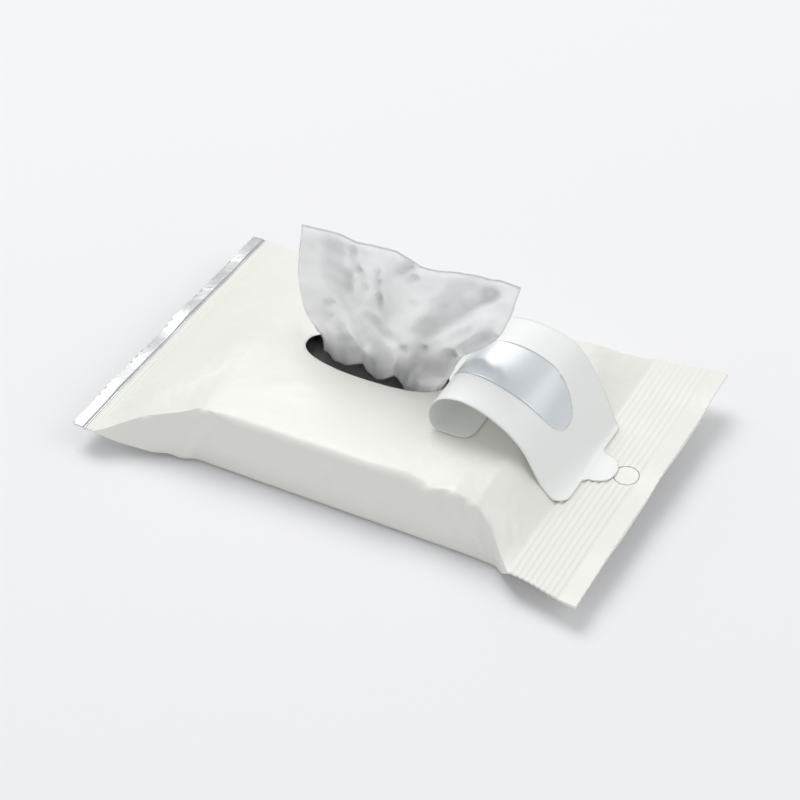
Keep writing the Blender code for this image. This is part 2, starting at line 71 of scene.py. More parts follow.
def linear(colour: str) -> tuple[float, float, float, float]:
    """Turns an sRGB hex colour into linear RGBA.

    Args:
        colour: Six hex digits, with or without a leading hash.

    Returns:
        Linear red, green, blue and an alpha of 1.
    """
    digits = colour.lstrip("#")
    values = [int(digits[i:i + 2], 16) / 255 for i in (0, 2, 4)]
    made = [v / 12.92 if v <= 0.04045 else ((v + 0.055) / 1.055) ** 2.4 for v in values]
    return (*made, 1.0)


def ease(t: np.ndarray) -> np.ndarray:
    """Eases values from 0 to 1."""
    t = np.clip(t, 0.0, 1.0)
    return t * t * (3 - 2 * t)


def along(points: Points, t: np.ndarray, soft: float = 0.0) -> np.ndarray:
    """Reads a line of (place, value) points, with its corners softened.

    Args:
        points: The line's points, in the order of their places.
        t: Places to read.
        soft: Half the width that each corner is averaged over.

    Returns:
        The values at the places.
    """
    places, values = zip(*points)
    shifts = soft * np.linspace(-1, 1, 7) if soft else np.zeros(1)
    return np.mean([np.interp(np.asarray(t) + s, places, values) for s in shifts], axis=0)


def add_node(tree: bpy.types.NodeTree, kind: str, settings: dict | None = None,
             links: dict | None = None) -> bpy.types.Node:
    """Adds a node with its settings and links.

    Args:
        tree: Node tree that gets the node.
        kind: Node type, such as ShaderNodeBump.
        settings: Values by attribute name, input name or input number.
        links: Output sockets by the name or number of the input that they feed.

    Returns:
        The new node.
    """
    node = tree.nodes.new(kind)
    for key, value in (settings or {}).items():
        if isinstance(key, str) and hasattr(node, key):
            setattr(node, key, value)
        else:
            node.inputs[key].default_value = value
    for key, socket in (links or {}).items():
        tree.links.new(socket, node.inputs[key])
    return node


@dataclass(frozen=True)
class Finish:
    """A surface, by what the real one is and how it was made."""

    name: str
    colour: str
    roughness: float
    metallic: float = 0.0
    ior: float = 1.5
    coat: float = 0.0
    coat_roughness: float = 0.1
    sheen: float = 0.0
    subsurface: float = 0.0

    def start(self) -> tuple[bpy.types.Material, bpy.types.NodeTree, bpy.types.Node]:
        """Starts the material with its constant values on the shader's own sockets."""
        made = bpy.data.materials.new(self.name)
        made.use_nodes = True
        tree = made.node_tree
        shader = tree.nodes["Principled BSDF"]
        shader.inputs["Base Color"].default_value = linear(self.colour)
        shader.inputs["Roughness"].default_value = self.roughness
        shader.inputs["Metallic"].default_value = self.metallic
        shader.inputs["IOR"].default_value = self.ior
        shader.inputs["Coat Weight"].default_value = self.coat
        shader.inputs["Coat Roughness"].default_value = self.coat_roughness
        shader.inputs["Sheen Weight"].default_value = self.sheen
        shader.inputs["Subsurface Weight"].default_value = self.subsurface
        return made, tree, shader

    def relief(self, tree: bpy.types.NodeTree, place: bpy.types.NodeSocket, size_mm: float,
               strength: float, depth_mm: float, pattern: dict,
               under: bpy.types.NodeSocket | None = None) -> bpy.types.NodeSocket:
        """Adds a fine uneven relief to the surface.

        Args:
            tree: Tree of the material.
            place: Object coordinates.
            size_mm: Size of the relief's bumps.
            strength: Strength of the relief.
            depth_mm: Its depth.
            pattern: Further settings of its noise.
            under: Normal of the relief that it lies on, if there is one.

        Returns:
            The normal with the relief.
        """
        noise_node = add_node(tree, "ShaderNodeTexNoise", {"Scale": 1 / (size_mm * MM), **pattern},
                              {"Vector": place})
        links = {"Height": noise_node.outputs["Fac"]}
        if under is not None:
            links["Normal"] = under
        bump = add_node(tree, "ShaderNodeBump", {"Strength": strength, "Distance": depth_mm * MM},
                        links)
        return bump.outputs["Normal"]


@dataclass(frozen=True)
class SatinFilm(Finish):
    """Oriented film printed solid white: satin, with fine creases pressed in by handling."""

    name: str = "satin_white_film"
    colour: str = "#F2F2EB"
    roughness: float = 0.36
    crease_mm: float = 8.0
    crease_depth_mm: float = 0.22
    grain_mm: float = 0.9
    grain_depth_mm: float = 0.02
    bare_colour: str = "#C3C6C6"
    bare_edge: float = -79.3
    ring_x: float = 74.5
    ring_radius: float = 3.8
    ring_kerf: float = 0.22

    def build(self) -> bpy.types.Material:
        """Builds the film with shallow creases, faint grain and the ring cut in the wide seal."""
        made, tree, shader = self.start()
        place = add_node(tree, "ShaderNodeTexCoord").outputs["Object"]
        folds = add_node(tree, "ShaderNodeTexNoise",
                         {"Scale": 1 / (self.crease_mm * MM), "Detail": 3.0, "Roughness": 0.55,
                          "Distortion": 0.6}, {"Vector": place})
        ridged = add_node(tree, "ShaderNodeMath", {"operation": "PINGPONG", 1: 0.5},
                          {0: folds.outputs["Fac"]})
        first = add_node(tree, "ShaderNodeBump",
                         {"Strength": 1.0, "Distance": self.crease_depth_mm * MM},
                         {"Height": ridged.outputs[0]})
        grain = self.relief(tree, place, self.grain_mm, 0.25, self.grain_depth_mm, {"Detail": 2.0},
                            first.outputs["Normal"])
        tree.links.new(grain, shader.inputs["Normal"])
        shine = add_node(tree, "ShaderNodeMapRange",
                         {"To Min": self.roughness - 0.06, "To Max": self.roughness + 0.06},
                         {"Value": folds.outputs["Fac"]})
        tree.links.new(shine.outputs["Result"], shader.inputs["Roughness"])
        ring = self.ring(tree, place)
        bare = self.bare_strip(tree, place)
        tree.links.new(bare, shader.inputs["Metallic"])
        printed = add_node(tree, "ShaderNodeMix",
                           {"data_type": "RGBA", 6: linear(self.colour),
                            7: linear(self.bare_colour)}, {0: bare})
        mix = add_node(tree, "ShaderNodeMix", {"data_type": "RGBA", 7: linear("#6E6E6C")},
                       {0: ring, 6: printed.outputs[2]})
        tree.links.new(mix.outputs[2], shader.inputs["Base Color"])
        return made

    def bare_strip(self, tree: bpy.types.NodeTree,
                   place: bpy.types.NodeSocket) -> bpy.types.NodeSocket:
        """Marks the edge of the narrow seal, where the foil shows through no white ink.

        Args:
            tree: Tree of the material.
            place: Object coordinates.

        Returns:
            A socket that is near 1 on the bare strip and 0 elsewhere.
        """
        wide = add_node(tree, "ShaderNodeTexNoise", {"Scale": 1 / (14 * MM)}, {"Vector": place})
        axes = add_node(tree, "ShaderNodeSeparateXYZ", links={0: place})
        shift = add_node(tree, "ShaderNodeMath", {"operation": "MULTIPLY_ADD", 1: 1.2 * MM},
                         {0: wide.outputs["Fac"], 2: axes.outputs["X"]})
        edge = (self.bare_edge + 0.6) * MM
        mark = add_node(tree, "ShaderNodeMapRange",
                        {"From Min": edge + 0.3 * MM, "From Max": edge, "To Min": 0.0,
                         "To Max": 0.9}, {"Value": shift.outputs[0]})
        return mark.outputs["Result"]

    def ring(self, tree: bpy.types.NodeTree, place: bpy.types.NodeSocket) -> bpy.types.NodeSocket:
        """Marks the thin ring where the hang hole is cut.

        Args:
            tree: Tree of the material.
            place: Object coordinates.

        Returns:
            A socket that is 1 on the cut and 0 elsewhere.
        """
        centred = add_node(tree, "ShaderNodeMapping",
                           {"Location": (-self.ring_x * MM, 0, 0), "Scale": (1, 1, 0)},
                           {"Vector": place})
        reach = add_node(tree, "ShaderNodeVectorMath", {"operation": "LENGTH"},
                         {0: centred.outputs["Vector"]})
        off = add_node(tree, "ShaderNodeMath", {"operation": "SUBTRACT", 1: self.ring_radius * MM},
                       {0: reach.outputs["Value"]})
        size = add_node(tree, "ShaderNodeMath", {"operation": "ABSOLUTE"}, {0: off.outputs[0]})
        mark = add_node(tree, "ShaderNodeMapRange",
                        {"From Min": self.ring_kerf * MM, "From Max": self.ring_kerf * MM / 2,
                         "To Min": 0.0, "To Max": 0.8}, {"Value": size.outputs[0]})
        return mark.outputs["Result"]


@dataclass(frozen=True)
class LabelFilm(Finish):
    """Die-cut label film with its adhesive: cooler, brighter and smoother than the pouch."""

    name: str = "smooth_white_label"
    colour: str = "#F6F8F5"
    roughness: float = 0.36
    peel_mm: float = 2.5
    peel_depth_mm: float = 0.02

    def build(self) -> bpy.types.Material:
        """Builds the label with the faint orange peel of its adhesive coat."""
        made, tree, shader = self.start()
        place = add_node(tree, "ShaderNodeTexCoord").outputs["Object"]
        peel = self.relief(tree, place, self.peel_mm, 0.3, self.peel_depth_mm, {"Detail": 2.0})
        tree.links.new(peel, shader.inputs["Normal"])
        return made


@dataclass(frozen=True)
class FoilLayer(Finish):
    """Aluminised inner layer of the laminate: a soft mirror with faint rolling lines."""

    name: str = "aluminised_layer"
    colour: str = "#E6EBEE"
    roughness: float = 0.36
    metallic: float = 0.6

    def build(self) -> bpy.types.Material:
        """Builds the foil with its roughness drawn out along the web."""
        made, tree, shader = self.start()
        place = add_node(tree, "ShaderNodeTexCoord").outputs["Object"]
        drawn = add_node(tree, "ShaderNodeMapping", {"Scale": (0.15, 1, 1)}, {"Vector": place})
        lines = add_node(tree, "ShaderNodeTexNoise", {"Scale": 1 / (0.8 * MM), "Detail": 3.0},
                         {"Vector": drawn.outputs["Vector"]})
        shine = add_node(tree, "ShaderNodeMapRange",
                         {"To Min": self.roughness - 0.05, "To Max": self.roughness + 0.08},
                         {"Value": lines.outputs["Fac"]})
        tree.links.new(shine.outputs["Result"], shader.inputs["Roughness"])
        return made


@dataclass(frozen=True)
class Nonwoven(Finish):
    """Spunlaced nonwoven, moist: matt, soft and a little see-through, with a fibre tangle."""

    name: str = "moist_nonwoven"
    colour: str = "#FAFBFB"
    roughness: float = 0.9
    sheen: float = 0.15
    subsurface: float = 0.0
    through_colour: str = "#FFFFFF"
    through: float = 0.975
    tangle_mm: float = 1.1
    tangle_depth_mm: float = 0.1
    fibre_mm: float = 0.35
    fibre_depth_mm: float = 0.04

    def build(self) -> bpy.types.Material:
        """Builds the cloth. Its fibres are drawn coarser than the real 0.02 mm so that they show."""
        made, tree, shader = self.start()
        place = add_node(tree, "ShaderNodeTexCoord").outputs["Object"]
        tangle = self.relief(tree, place, self.tangle_mm, 0.5, self.tangle_depth_mm,
                             {"Detail": 4.0, "Distortion": 1.2})
        fibre = self.relief(tree, place, self.fibre_mm, 0.4, self.fibre_depth_mm, {"Detail": 2.0},
                            tangle)
        tree.links.new(fibre, shader.inputs["Normal"])
        glow = add_node(tree, "ShaderNodeBsdfTranslucent", {"Color": linear(self.through_colour)},
                        {"Normal": fibre})
        mix = add_node(tree, "ShaderNodeMixShader", {0: self.through},
                       {1: shader.outputs["BSDF"], 2: glow.outputs["BSDF"]})
        tree.links.new(mix.outputs["Shader"], tree.nodes["Material Output"].inputs["Surface"])
        return made


def finished(name: str, shape: bmesh.types.BMesh, material: bpy.types.Material,
             replaces: Sequence[str] = ()) -> bpy.types.Object:
    """Turns a bmesh in millimetres into a finished piece that rides on the pack.

    Args:
        name: Name of the piece.
        shape: Its mesh, in millimetres. It is freed.
        material: Its material.
        replaces: Nodes that it stands for.

    Returns:
        The piece's object.
    """
    bmesh.ops.scale(shape, vec=(MM, MM, MM), verts=shape.verts)
    data = bpy.data.meshes.new(name)
    shape.to_mesh(data)
    shape.free()
    data.shade_smooth()
    data.set_sharp_from_angle(angle=math.radians(50))
    data.materials.append(material)
    made = bpy.data.objects.new(name, data)
    bpy.context.scene.collection.objects.link(made)
    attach(made, ROOT)
    if replaces:
        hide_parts(*replaces)
    return made


def thicken(piece: bpy.types.Object, thickness: float, offset: float, inner_slot: int = 0) -> None:
    """Gives a sheet its real thickness.

    Args:
        piece: The sheet.
        thickness: Thickness in millimetres.
        offset: -1 grows it inwards, 0 to both sides and 1 outwards.
        inner_slot: Material slots between the outer face and the inner one.
    """
    solid = piece.modifiers.new("thickness", "SOLIDIFY")
    solid.thickness = thickness * MM
    solid.offset = offset
    solid.material_offset = inner_slot
    solid.use_rim = True


def apply_modifiers(piece: bpy.types.Object) -> None:
    """Applies all of a piece's modifiers to its mesh."""
    graph = bpy.context.evaluated_depsgraph_get()
    graph.update()
    data = bpy.data.meshes.new_from_object(piece.evaluated_get(graph))
    old = piece.data
    piece.modifiers.clear()
    piece.data = data
    data.name = old.name
    bpy.data.meshes.remove(old)


@dataclass(frozen=True)
class Oval:
    """Outline of the dispensing hole, and of the piece of film that was cut out of it."""

    length: float = 48.0
    width: float = 17.8
    power: float = 2.3

    def point(self, angle: float) -> tuple[float, float]:
        """Gives the outline's point at an angle, from the oval's middle."""
        c, s = math.cos(angle), math.sin(angle)
        power = 2 / self.power
        return (math.copysign(abs(c) ** power, c) * self.length / 2,
                math.copysign(abs(s) ** power, s) * self.width / 2)


@dataclass(frozen=True)
class Fold:
    """A crease in the film, along points given as (x, way in from the near crease)."""

    points: tuple[tuple[float, float], ...]
    height: float
    left: float
    right: float
    tip: float = 0.4
    taper: float = 0.35
    sharp: float = 0.0

    def lift(self, x: np.ndarray, q: np.ndarray) -> np.ndarray:
        """Works out how far the fold lifts the film.

        Args:
            x: Places along the pack.
            q: Ways in from the near crease, below 0 down the side panel.

        Returns:
            Lift along the film's normal, in millimetres.
        """
        line = np.array(self.points)
        legs = np.linalg.norm(np.diff(line, axis=0), axis=1)
        total, done = legs.sum(), 0.0
        best = np.full(x.shape, np.inf)
        lift = np.zeros(x.shape)
        for (ax, aq), (bx, bq), leg in zip(line[:-1], line[1:], legs):
            ux, uq = (bx - ax) / leg, (bq - aq) / leg
            t = np.clip((x - ax) * ux + (q - aq) * uq, 0, leg)
            dx, dq = x - ax - t * ux, q - aq - t * uq
            side = ux * dq - uq * dx
            distance = np.hypot(dx, dq)
            width = np.where(side > 0, self.left, self.right)
            share = (done + t) / total
            fade = ease(share / self.taper) * ease((1 - share) / self.taper) if self.taper else 1.0
            tent = 1 - (np.sqrt(distance ** 2 + self.tip ** 2) - self.tip) / width
            nearer = distance < best
            bell = (1 - self.sharp) * ease(tent) + self.sharp * np.clip(tent, 0, 1)
            lift = np.where(nearer, self.height * fade * bell, lift)
            best = np.minimum(best, distance)
            done += leg
        return lift


@dataclass(frozen=True)
class PouchShape:
    """Form of the filled pillow pouch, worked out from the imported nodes' boxes."""

    narrow_seal: float = 8.0
    wide_seal: float = 23.0
    seal_lift: float = 9.3
    seal_tilt: float = 2.0
    corner_curl: float = 1.4
    seal_half: float = 0.28
    crown: float = 1.3
    panel_bulge: float = 0.9
    rib_count: int = 9
    rib_pitch: float = 1.9
    rib_height: float = 0.34
    groove_pitch: float = 1.5
    groove_depth: float = 0.35
    fin_width: float = 10.0
    fin_offset: float = -4.0
    fin_depth: float = 0.6

    def marks(self) -> tuple[float, float, float, float, float, float]:
        """Gives the places along X where the seals, the shoulders and the stack start and end."""
        pouch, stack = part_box("film_pouch"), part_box("folded_sheet_01")
        low, high = pouch[0][0] / MM, pouch[1][0] / MM
        return (low, low + self.narrow_seal, stack[0][0] / MM, stack[1][0] / MM,
                high - self.wide_seal, high)

    def half_width(self) -> float:
        """Gives half the flat width of the pouch."""
        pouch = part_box("film_pouch")
        return (pouch[1][1] - pouch[0][1]) / 2 / MM

    def body_top(self) -> float:
        """Gives the height of the filled body's edges."""
        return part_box("film_pouch")[1][2] / MM - self.crown


NEAR_CREASE_INSET = ((0, 1.0), (0.16, 5.0), (0.43, 9.0), (0.79, 11.5), (1.03, 12.8), (1.63, 13.0),
                     (1.75, 14.8), (1.83, 13.8), (1.91, 14.3), (2.1, 13.5), (2.4, 12.0), (3, 4.0))
NEAR_CREASE_RISE = ((0, 0), (0.16, 0.1), (0.43, 0.42), (0.79, 0.73), (1.03, 1.03), (1.1, 0.98),
                    (1.63, 1), (1.75, 0.94), (1.83, 0.88), (1.91, 1.01), (1.98, 0.88),
                    (2.1, 0.72), (2.4, 0.42), (2.8, 0.05), (3, 0))
NEAR_BASE_INSET = ((0, 1.0), (0.16, 3.5), (0.5, 7.0), (0.95, 11.5), (2.5, 11.5), (3, 4.0))
BASE_DROP = ((0, 0), (0.16, 0.4), (0.5, 0.75), (0.95, 1), (2.5, 1), (2.75, 0.7), (3, 0))
FAR_CREASE_INSET = ((0, 2.0), (0.2, 4.0), (0.43, 6.0), (0.79, 11.0), (1.05, 13.0), (1.8, 15.0),
                    (2, 12.5), (2.4, 8.0), (3, 2.0))
FAR_CREASE_RISE = ((0, 0), (0.2, 0.12), (0.43, 0.3), (0.79, 0.7), (1.05, 0.97), (1.8, 0.97),
                   (2, 0.88), (2.4, 0.4), (3, 0))
FAR_BASE_INSET = ((0, 2.0), (0.5, 6.0), (0.95, 11.5), (2.4, 11.5), (3, 2.0))
CROWN_RISE = ((0, 0), (0.16, 0.3), (0.43, 0.62), (0.79, 0.91), (1.05, 1), (2, 0.99), (2.25, 0.85),
              (3, 0))
KEEL_DROP = ((0, 0), (0.16, 0.35), (0.5, 0.8), (0.9, 1), (2.5, 1), (2.75, 0.65), (3, 0))

FOLDS = (
    Fold(((-78, 2), (-67, 12), (-57, 22), (-48, 40), (-41, 50), (-33, 53)), 0.9, 22, 12, 1.5, 0.2),
    Fold(((-36, 12), (-27, 20), (-16, 25), (-6, 27)), 0.55, 6, 4, 0.6),
    Fold(((-30, 16), (-20, 17), (-11, 24)), 0.35, 3, 3, 0.4),
    Fold(((-76, 8), (-69, 10)), 0.3, 2.5, 2.5, 0.3),
    Fold(((-72, 23), (-68, 24.5)), 0.25, 2, 2, 0.3),
    Fold(((-68, 50), (-60, 52), (-53, 57)), 0.4, 6, 4, 0.6),
    Fold(((-74, 68), (-66, 72), (-58, 80)), 0.5, 7, 4, 0.6),
    Fold(((-52, 88), (-58, 74), (-62, 66)), 0.6, 5, 8, 0.5),
    Fold(((-43, 0), (-47, -9), (-51, -18)), 0.9, 4, 5, 0.2, 0.1),
    Fold(((-43, 0), (-39.5, -8), (-37, -14)), 0.5, 4, 3, 0.2, 0.1),
    Fold(((-63, 0), (-60.5, -5), (-58, -9)), 0.6, 3, 4, 0.2, 0.1),
    Fold(((-2.5, -4), (-1.5, -12)), -0.5, 2, 2, 0.5),
    Fold(((30, 1), (34, -6), (41, -14)), 0.7, 3, 5, 0.2, 0.1),
    Fold(((37, 0), (40, -5), (46, -12)), 0.8, 3, 4, 0.2, 0.1),
    Fold(((43.5, 0), (46, -6), (50, -12)), 0.8, 3, 3, 0.2, 0.1),
    Fold(((48, 0), (52, 3), (57, 8)), 0.5, 4, 4, 0.4),
    Fold(((55, 10), (60, 11)), 0.4, 2, 2.5, 0.3),
    Fold(((43, 84), (52, 70), (57, 58)), 0.6, 6, 10, 0.8),
)


@dataclass
class FilmPouch:
    """The pillow pouch: a tube of film with crimped end seals and an oval hole in its top."""

    shape: PouchShape = field(default_factory=PouchShape)
    film: float = 0.14
    hole: Oval = field(default_factory=Oval)
    hole_x: float = -9.0
    hole_y: float = 0.5
    hole_lip: float = 0.7
    lip_reach: float = 6.0
    hole_sides: int = 96
    tooth_pitch: float = 1.6
    tooth_depth: float = 0.35
    knife_depth: float = 4.0
    knife_length: float = 12.0
    top_count: int = 104
    panel_count: int = 22
    bottom_count: int = 36
    narrow_seal_rings: int = 26
    narrow_shoulder_rings: int = 32
    body_rings: int = 58
    crumple_length: float = 22.0
    crumple_rings: int = 52
    rings_per_rib: int = 6
    margin_rings: int = 8

    def stations(self) -> np.ndarray:
        """Places the rings along X, close together where the seals are crimped."""
        low, narrow, start, end, wide, high = self.shape.marks()
        ribs = wide + self.shape.rib_pitch * self.shape.rib_count
        return np.concatenate([
            np.linspace(low, narrow, self.narrow_seal_rings, endpoint=False),
            np.linspace(narrow, start, self.narrow_shoulder_rings, endpoint=False),
            np.linspace(start, end - self.crumple_length, self.body_rings, endpoint=False),
            np.linspace(end - self.crumple_length, wide, self.crumple_rings, endpoint=False),
            np.linspace(wide, ribs, self.rings_per_rib * self.shape.rib_count, endpoint=False),
            np.linspace(ribs, high, self.margin_rings)])

    def lanes(self) -> list[tuple[Lane, float]]:
        """Lists the ring's points as lanes and shares, closed by a copy of the first."""
        ring = [(Lane.TOP, t) for t in np.linspace(0, 1, self.top_count, endpoint=False)]
        ring += [(Lane.FAR, t) for t in np.linspace(0, 1, self.panel_count, endpoint=False)]
        ring += [(Lane.BOTTOM, t) for t in np.linspace(0, 1, self.bottom_count, endpoint=False)]
        ring += [(Lane.NEAR, t) for t in np.linspace(0, 1, self.panel_count, endpoint=False)]
        return ring + [(Lane.TOP, 0.0)]

    def seal_height(self, x: np.ndarray, y: np.ndarray) -> np.ndarray:
        """Gives the middle of the two films of an end seal, which climbs to the far side."""
        _, _, start, end, wide, high = self.shape.marks()
        half = self.shape.half_width()
        far = ease((x - start) / (end - start))
        out = np.clip((x - wide) / (high - wide), 0, 1)
        curl = self.shape.corner_curl * out * ease((y / half - 0.6) / 0.4)
        return self.shape.seal_lift + self.shape.seal_tilt * y / half * (0.5 + 0.5 * far) + curl

    def knots(self, x: np.ndarray, near: bool) -> tuple[np.ndarray, ...]:
        """Gives the crease and the base of one side panel.

        Args:
            x: Places along the pack.
            near: True for the near panel, False for the far one.

        Returns:
            Y and Z of the crease, then Y and Z of the base.
        """
        low, narrow, start, end, wide, high = self.shape.marks()
        place = np.interp(x, (narrow, start, end, wide), (0, 1, 2, 3))
        side, half = (-1, self.shape.half_width()) if near else (1, self.shape.half_width())
        soft = 0.012 if near else 0.06
        crease_in = along(NEAR_CREASE_INSET if near else FAR_CREASE_INSET, place, soft)
        base_in = along(NEAR_BASE_INSET if near else FAR_BASE_INSET, place, 0.06)
        rise = along(NEAR_CREASE_RISE if near else FAR_CREASE_RISE, place, soft)
        drop = along(BASE_DROP, place, 0.05)
        flare = 1 - ease((x - wide) / (high - wide))
        seal = self.seal_height(x, np.full_like(x, side * half))
        thick = self.shape.seal_half
        top = seal + thick + rise * (self.shape.body_top() - seal - thick)
        bottom = (seal - thick) * (1 - drop)
        return side * (half - crease_in * flare), top, side * (half - base_in * flare), bottom

    def surface(self) -> tuple[np.ndarray, np.ndarray]:
        """Works out the outer surface.

        Returns:
            Points as an array of rings, and each point's way in from the near crease.
        """
        x = self.stations()
        low, narrow, start, end, wide, high = self.shape.marks()
        place = np.interp(x, (narrow, start, end, wide), (0, 1, 2, 3))
        near_y, near_top, near_by, near_base = self.knots(x, True)
        far_y, far_top, far_by, far_base = self.knots(x, False)
        rise, drop = along(CROWN_RISE, place, 0.08), along(KEEL_DROP, place, 0.06)
        top_z = self.shape.body_top() + self.shape.crown
        columns = []
        for lane, t in self.lanes():
            if lane is Lane.TOP:
                y = near_y + (far_y - near_y) * t
                seal = self.seal_height(x, y) + self.shape.seal_half
                edge = near_top + (far_top - near_top) * t
                crown = seal + rise * (top_z - seal)
                z = edge + (crown - edge) * (1 - abs(2 * t - 1) ** 3)
            elif lane is Lane.BOTTOM:
                y = far_by + (near_by - far_by) * t
                seal = self.seal_height(x, y) - self.shape.seal_half
                edge = far_base + (near_base - far_base) * t
                keel = seal * (1 - drop)
                across = np.abs(y - self.shape.fin_offset) - self.shape.fin_width / 2
                valley = self.shape.fin_depth * np.clip(1 - np.abs(across) / 0.9, 0, 1)
                z = edge + (keel - edge) * (1 - abs(2 * t - 1) ** 4) + valley * drop ** 4
            else:
                ends = (far_y, far_top, far_by, far_base)
                if lane is Lane.NEAR:
                    ends = (near_by, near_base, near_y, near_top)
                y0, z0, y1, z1 = ends
                out = 1 if lane is Lane.FAR else -1
                bulge = self.shape.panel_bulge * np.abs(z1 - z0) / top_z * math.sin(math.pi * t)
                y, z = y0 + (y1 - y0) * t + out * bulge, z0 + (z1 - z0) * t
            columns.append(np.stack([x, y, z], axis=1))
        points = np.stack(columns, axis=1)
        self.round_corners(points, x)
        steps = np.linalg.norm(np.diff(points, axis=1), axis=2)
        way = np.concatenate([np.zeros((len(x), 1)), np.cumsum(steps, axis=1)], axis=1)
        panel = slice(len(columns) - 1 - self.panel_count, len(columns) - 1)
        way[:, panel] -= way[:, -1:]
        way[:, -1] = 0.0
        return points, way

    def round_corners(self, points: np.ndarray, x: np.ndarray) -> None:
        """Rounds the tube's long edges where the film is taut, and leaves its pinched folds sharp.

        Args:
            points: Rings of the surface, changed in place.
            x: Places of the rings.
        """
        low, narrow, start, end, wide, high = self.shape.marks()
        count = points.shape[1] - 1
        far = self.top_count
        far_base = far + self.panel_count
        near_base = far_base + self.bottom_count
        soft_near = ease((x - start - 3) / 12) * (1 - 0.9 * ease((x - end + 20) / 6))
        soft_far = 0.25 + 0.6 * ease((x - start) / 20) * (1 - ease((x - end + 10) / 20))
        soft_base = 0.35 * ease((x - start + 15) / 10) * (1 - ease((x - wide + 6) / 6))
        weights = np.zeros((len(x), count))
        for corner, soft, reach in ((0, soft_near, 3), (far, soft_far, 3),
                                    (far_base, soft_base, 1), (near_base, soft_base, 1)):
            for offset in range(-reach, reach + 1):
                index = (corner + offset) % count
                share = soft * (1 - abs(offset) / (reach + 1))
                weights[:, index] = np.maximum(weights[:, index], share)
        ring = points[:, :-1]
        for _ in range(6):
            middle = (np.roll(ring, 1, axis=1) + np.roll(ring, -1, axis=1)) / 2
            ring += 0.8 * weights[..., None] * (middle - ring)
        points[:, :-1] = ring
        points[:, -1] = ring[:, 0]

    def normals(self, points: np.ndarray) -> np.ndarray:
        """Works out the outward normals of the rings' points."""
        along_x = np.gradient(points, axis=0)
        ring = points[:, :-1]
        round_it = (np.roll(ring, -1, axis=1) - np.roll(ring, 1, axis=1)) / 2
        round_it = np.concatenate([round_it, round_it[:, :1]], axis=1)
        out = np.cross(along_x, round_it)
        return out / np.maximum(np.linalg.norm(out, axis=2, keepdims=True), 1e-9)

    def crimp(self, x: np.ndarray, y: np.ndarray) -> np.ndarray:
        """Gives the height of the wide seal's ribs and the narrow seal's grooves."""
        low, narrow, start, end, wide, high = self.shape.marks()
        ribs = (x - wide) / self.shape.rib_pitch
        inside = (ribs > 0) & (ribs < self.shape.rib_count)
        worn = 1 - 0.6 * ease((y - 4) / 16)
        from_ring = np.hypot(x - (high - 9.5), y)
        worn = worn * ease((from_ring - 3.4) / 1.2)
        height = np.where(inside, self.shape.rib_height * worn * (0.5 - 0.5 * np.cos(2 * np.pi * ribs)), 0)
        grooves = (narrow - x) / self.shape.groove_pitch
        cut = (grooves > 0) & (grooves < 3)
        dip = self.shape.groove_depth * (0.5 - 0.5 * np.cos(2 * np.pi * grooves))
        return height - np.where(cut, dip, 0)

    def oval_distance(self, x: np.ndarray, y: np.ndarray) -> np.ndarray:
        """Gives each point's rough distance outside the hole's edge, below 0 inside it."""
        hole = self.hole
        u, v = (x - self.hole_x) / (hole.length / 2), (y - self.hole_y) / (hole.width / 2)
        reach = (np.abs(u) ** hole.power + np.abs(v) ** hole.power) ** (1 / hole.power)
        return (reach - 1) * hole.width / 2

    def wrinkled(self) -> np.ndarray:
        """Adds the folds, the soft unevenness and the crimped seals to the surface."""
        points, way = self.surface()
        normals = self.normals(points)
        x, y, z = points[..., 0], points[..., 1], points[..., 2]
        low, narrow, start, end, wide, high = self.shape.marks()
        lift = np.zeros(x.shape)
        for fold in FOLDS:
            lift += fold.lift(x, way)
        filled = ease((x - narrow) / 6) * (1 - ease((x - wide + 4) / 4))
        lift *= filled
        upper = z > self.shape.seal_lift * 0.3
        slack = 0.10 + 0.22 * (1 - ease((x - start + 8) / 16)) + 0.22 * ease((x - end + 6) / 10)
        for index in np.ndindex(x.shape):
            if upper[index]:
                spot = Vector(points[index])
                soft = noise.noise(spot / 13.0)
                fine = abs(noise.noise(spot / 5.0 + Vector((7, 3, 1)))) - 0.2
                lift[index] += filled[index] * slack[index] * (1.2 * soft - 0.8 * fine)
        top = way > 0
        rim = np.clip(1 - self.oval_distance(x, y) / self.lip_reach, 0, 1.4)
        upper_face = top & (z > self.shape.seal_lift * 1.5)
        lift -= np.where(upper_face, self.hole_lip * rim ** 2, 0)
        points += normals * lift[..., None]
        wave = self.crimp(x, y)
        out = np.clip((x - wide) / (high - wide), 0, 1) + np.clip((narrow - x) / (narrow - low), 0, 1)
        ripple = 0.35 * out * np.sin(y / 9.0 + 1.3 * np.sin(y / 17.0)) + 0.15 * out * np.sin(y / 3.1)
        points[..., 2] += wave + ripple
        points[..., 2] = np.maximum(points[..., 2], 0.02)
        self.serrate(points, low, high)
        return points

    def serrate(self, points: np.ndarray, low: float, high: float) -> None:
        """Gives the two cut edges the small teeth of the cutting knife."""
        for ring, sign in ((0, -1), (-1, 1)):
            y = points[ring, :, 1]
            teeth = np.abs((y / self.tooth_pitch) % 1 - 0.5) * 2
            points[ring, :, 0] -= sign * self.tooth_depth * teeth

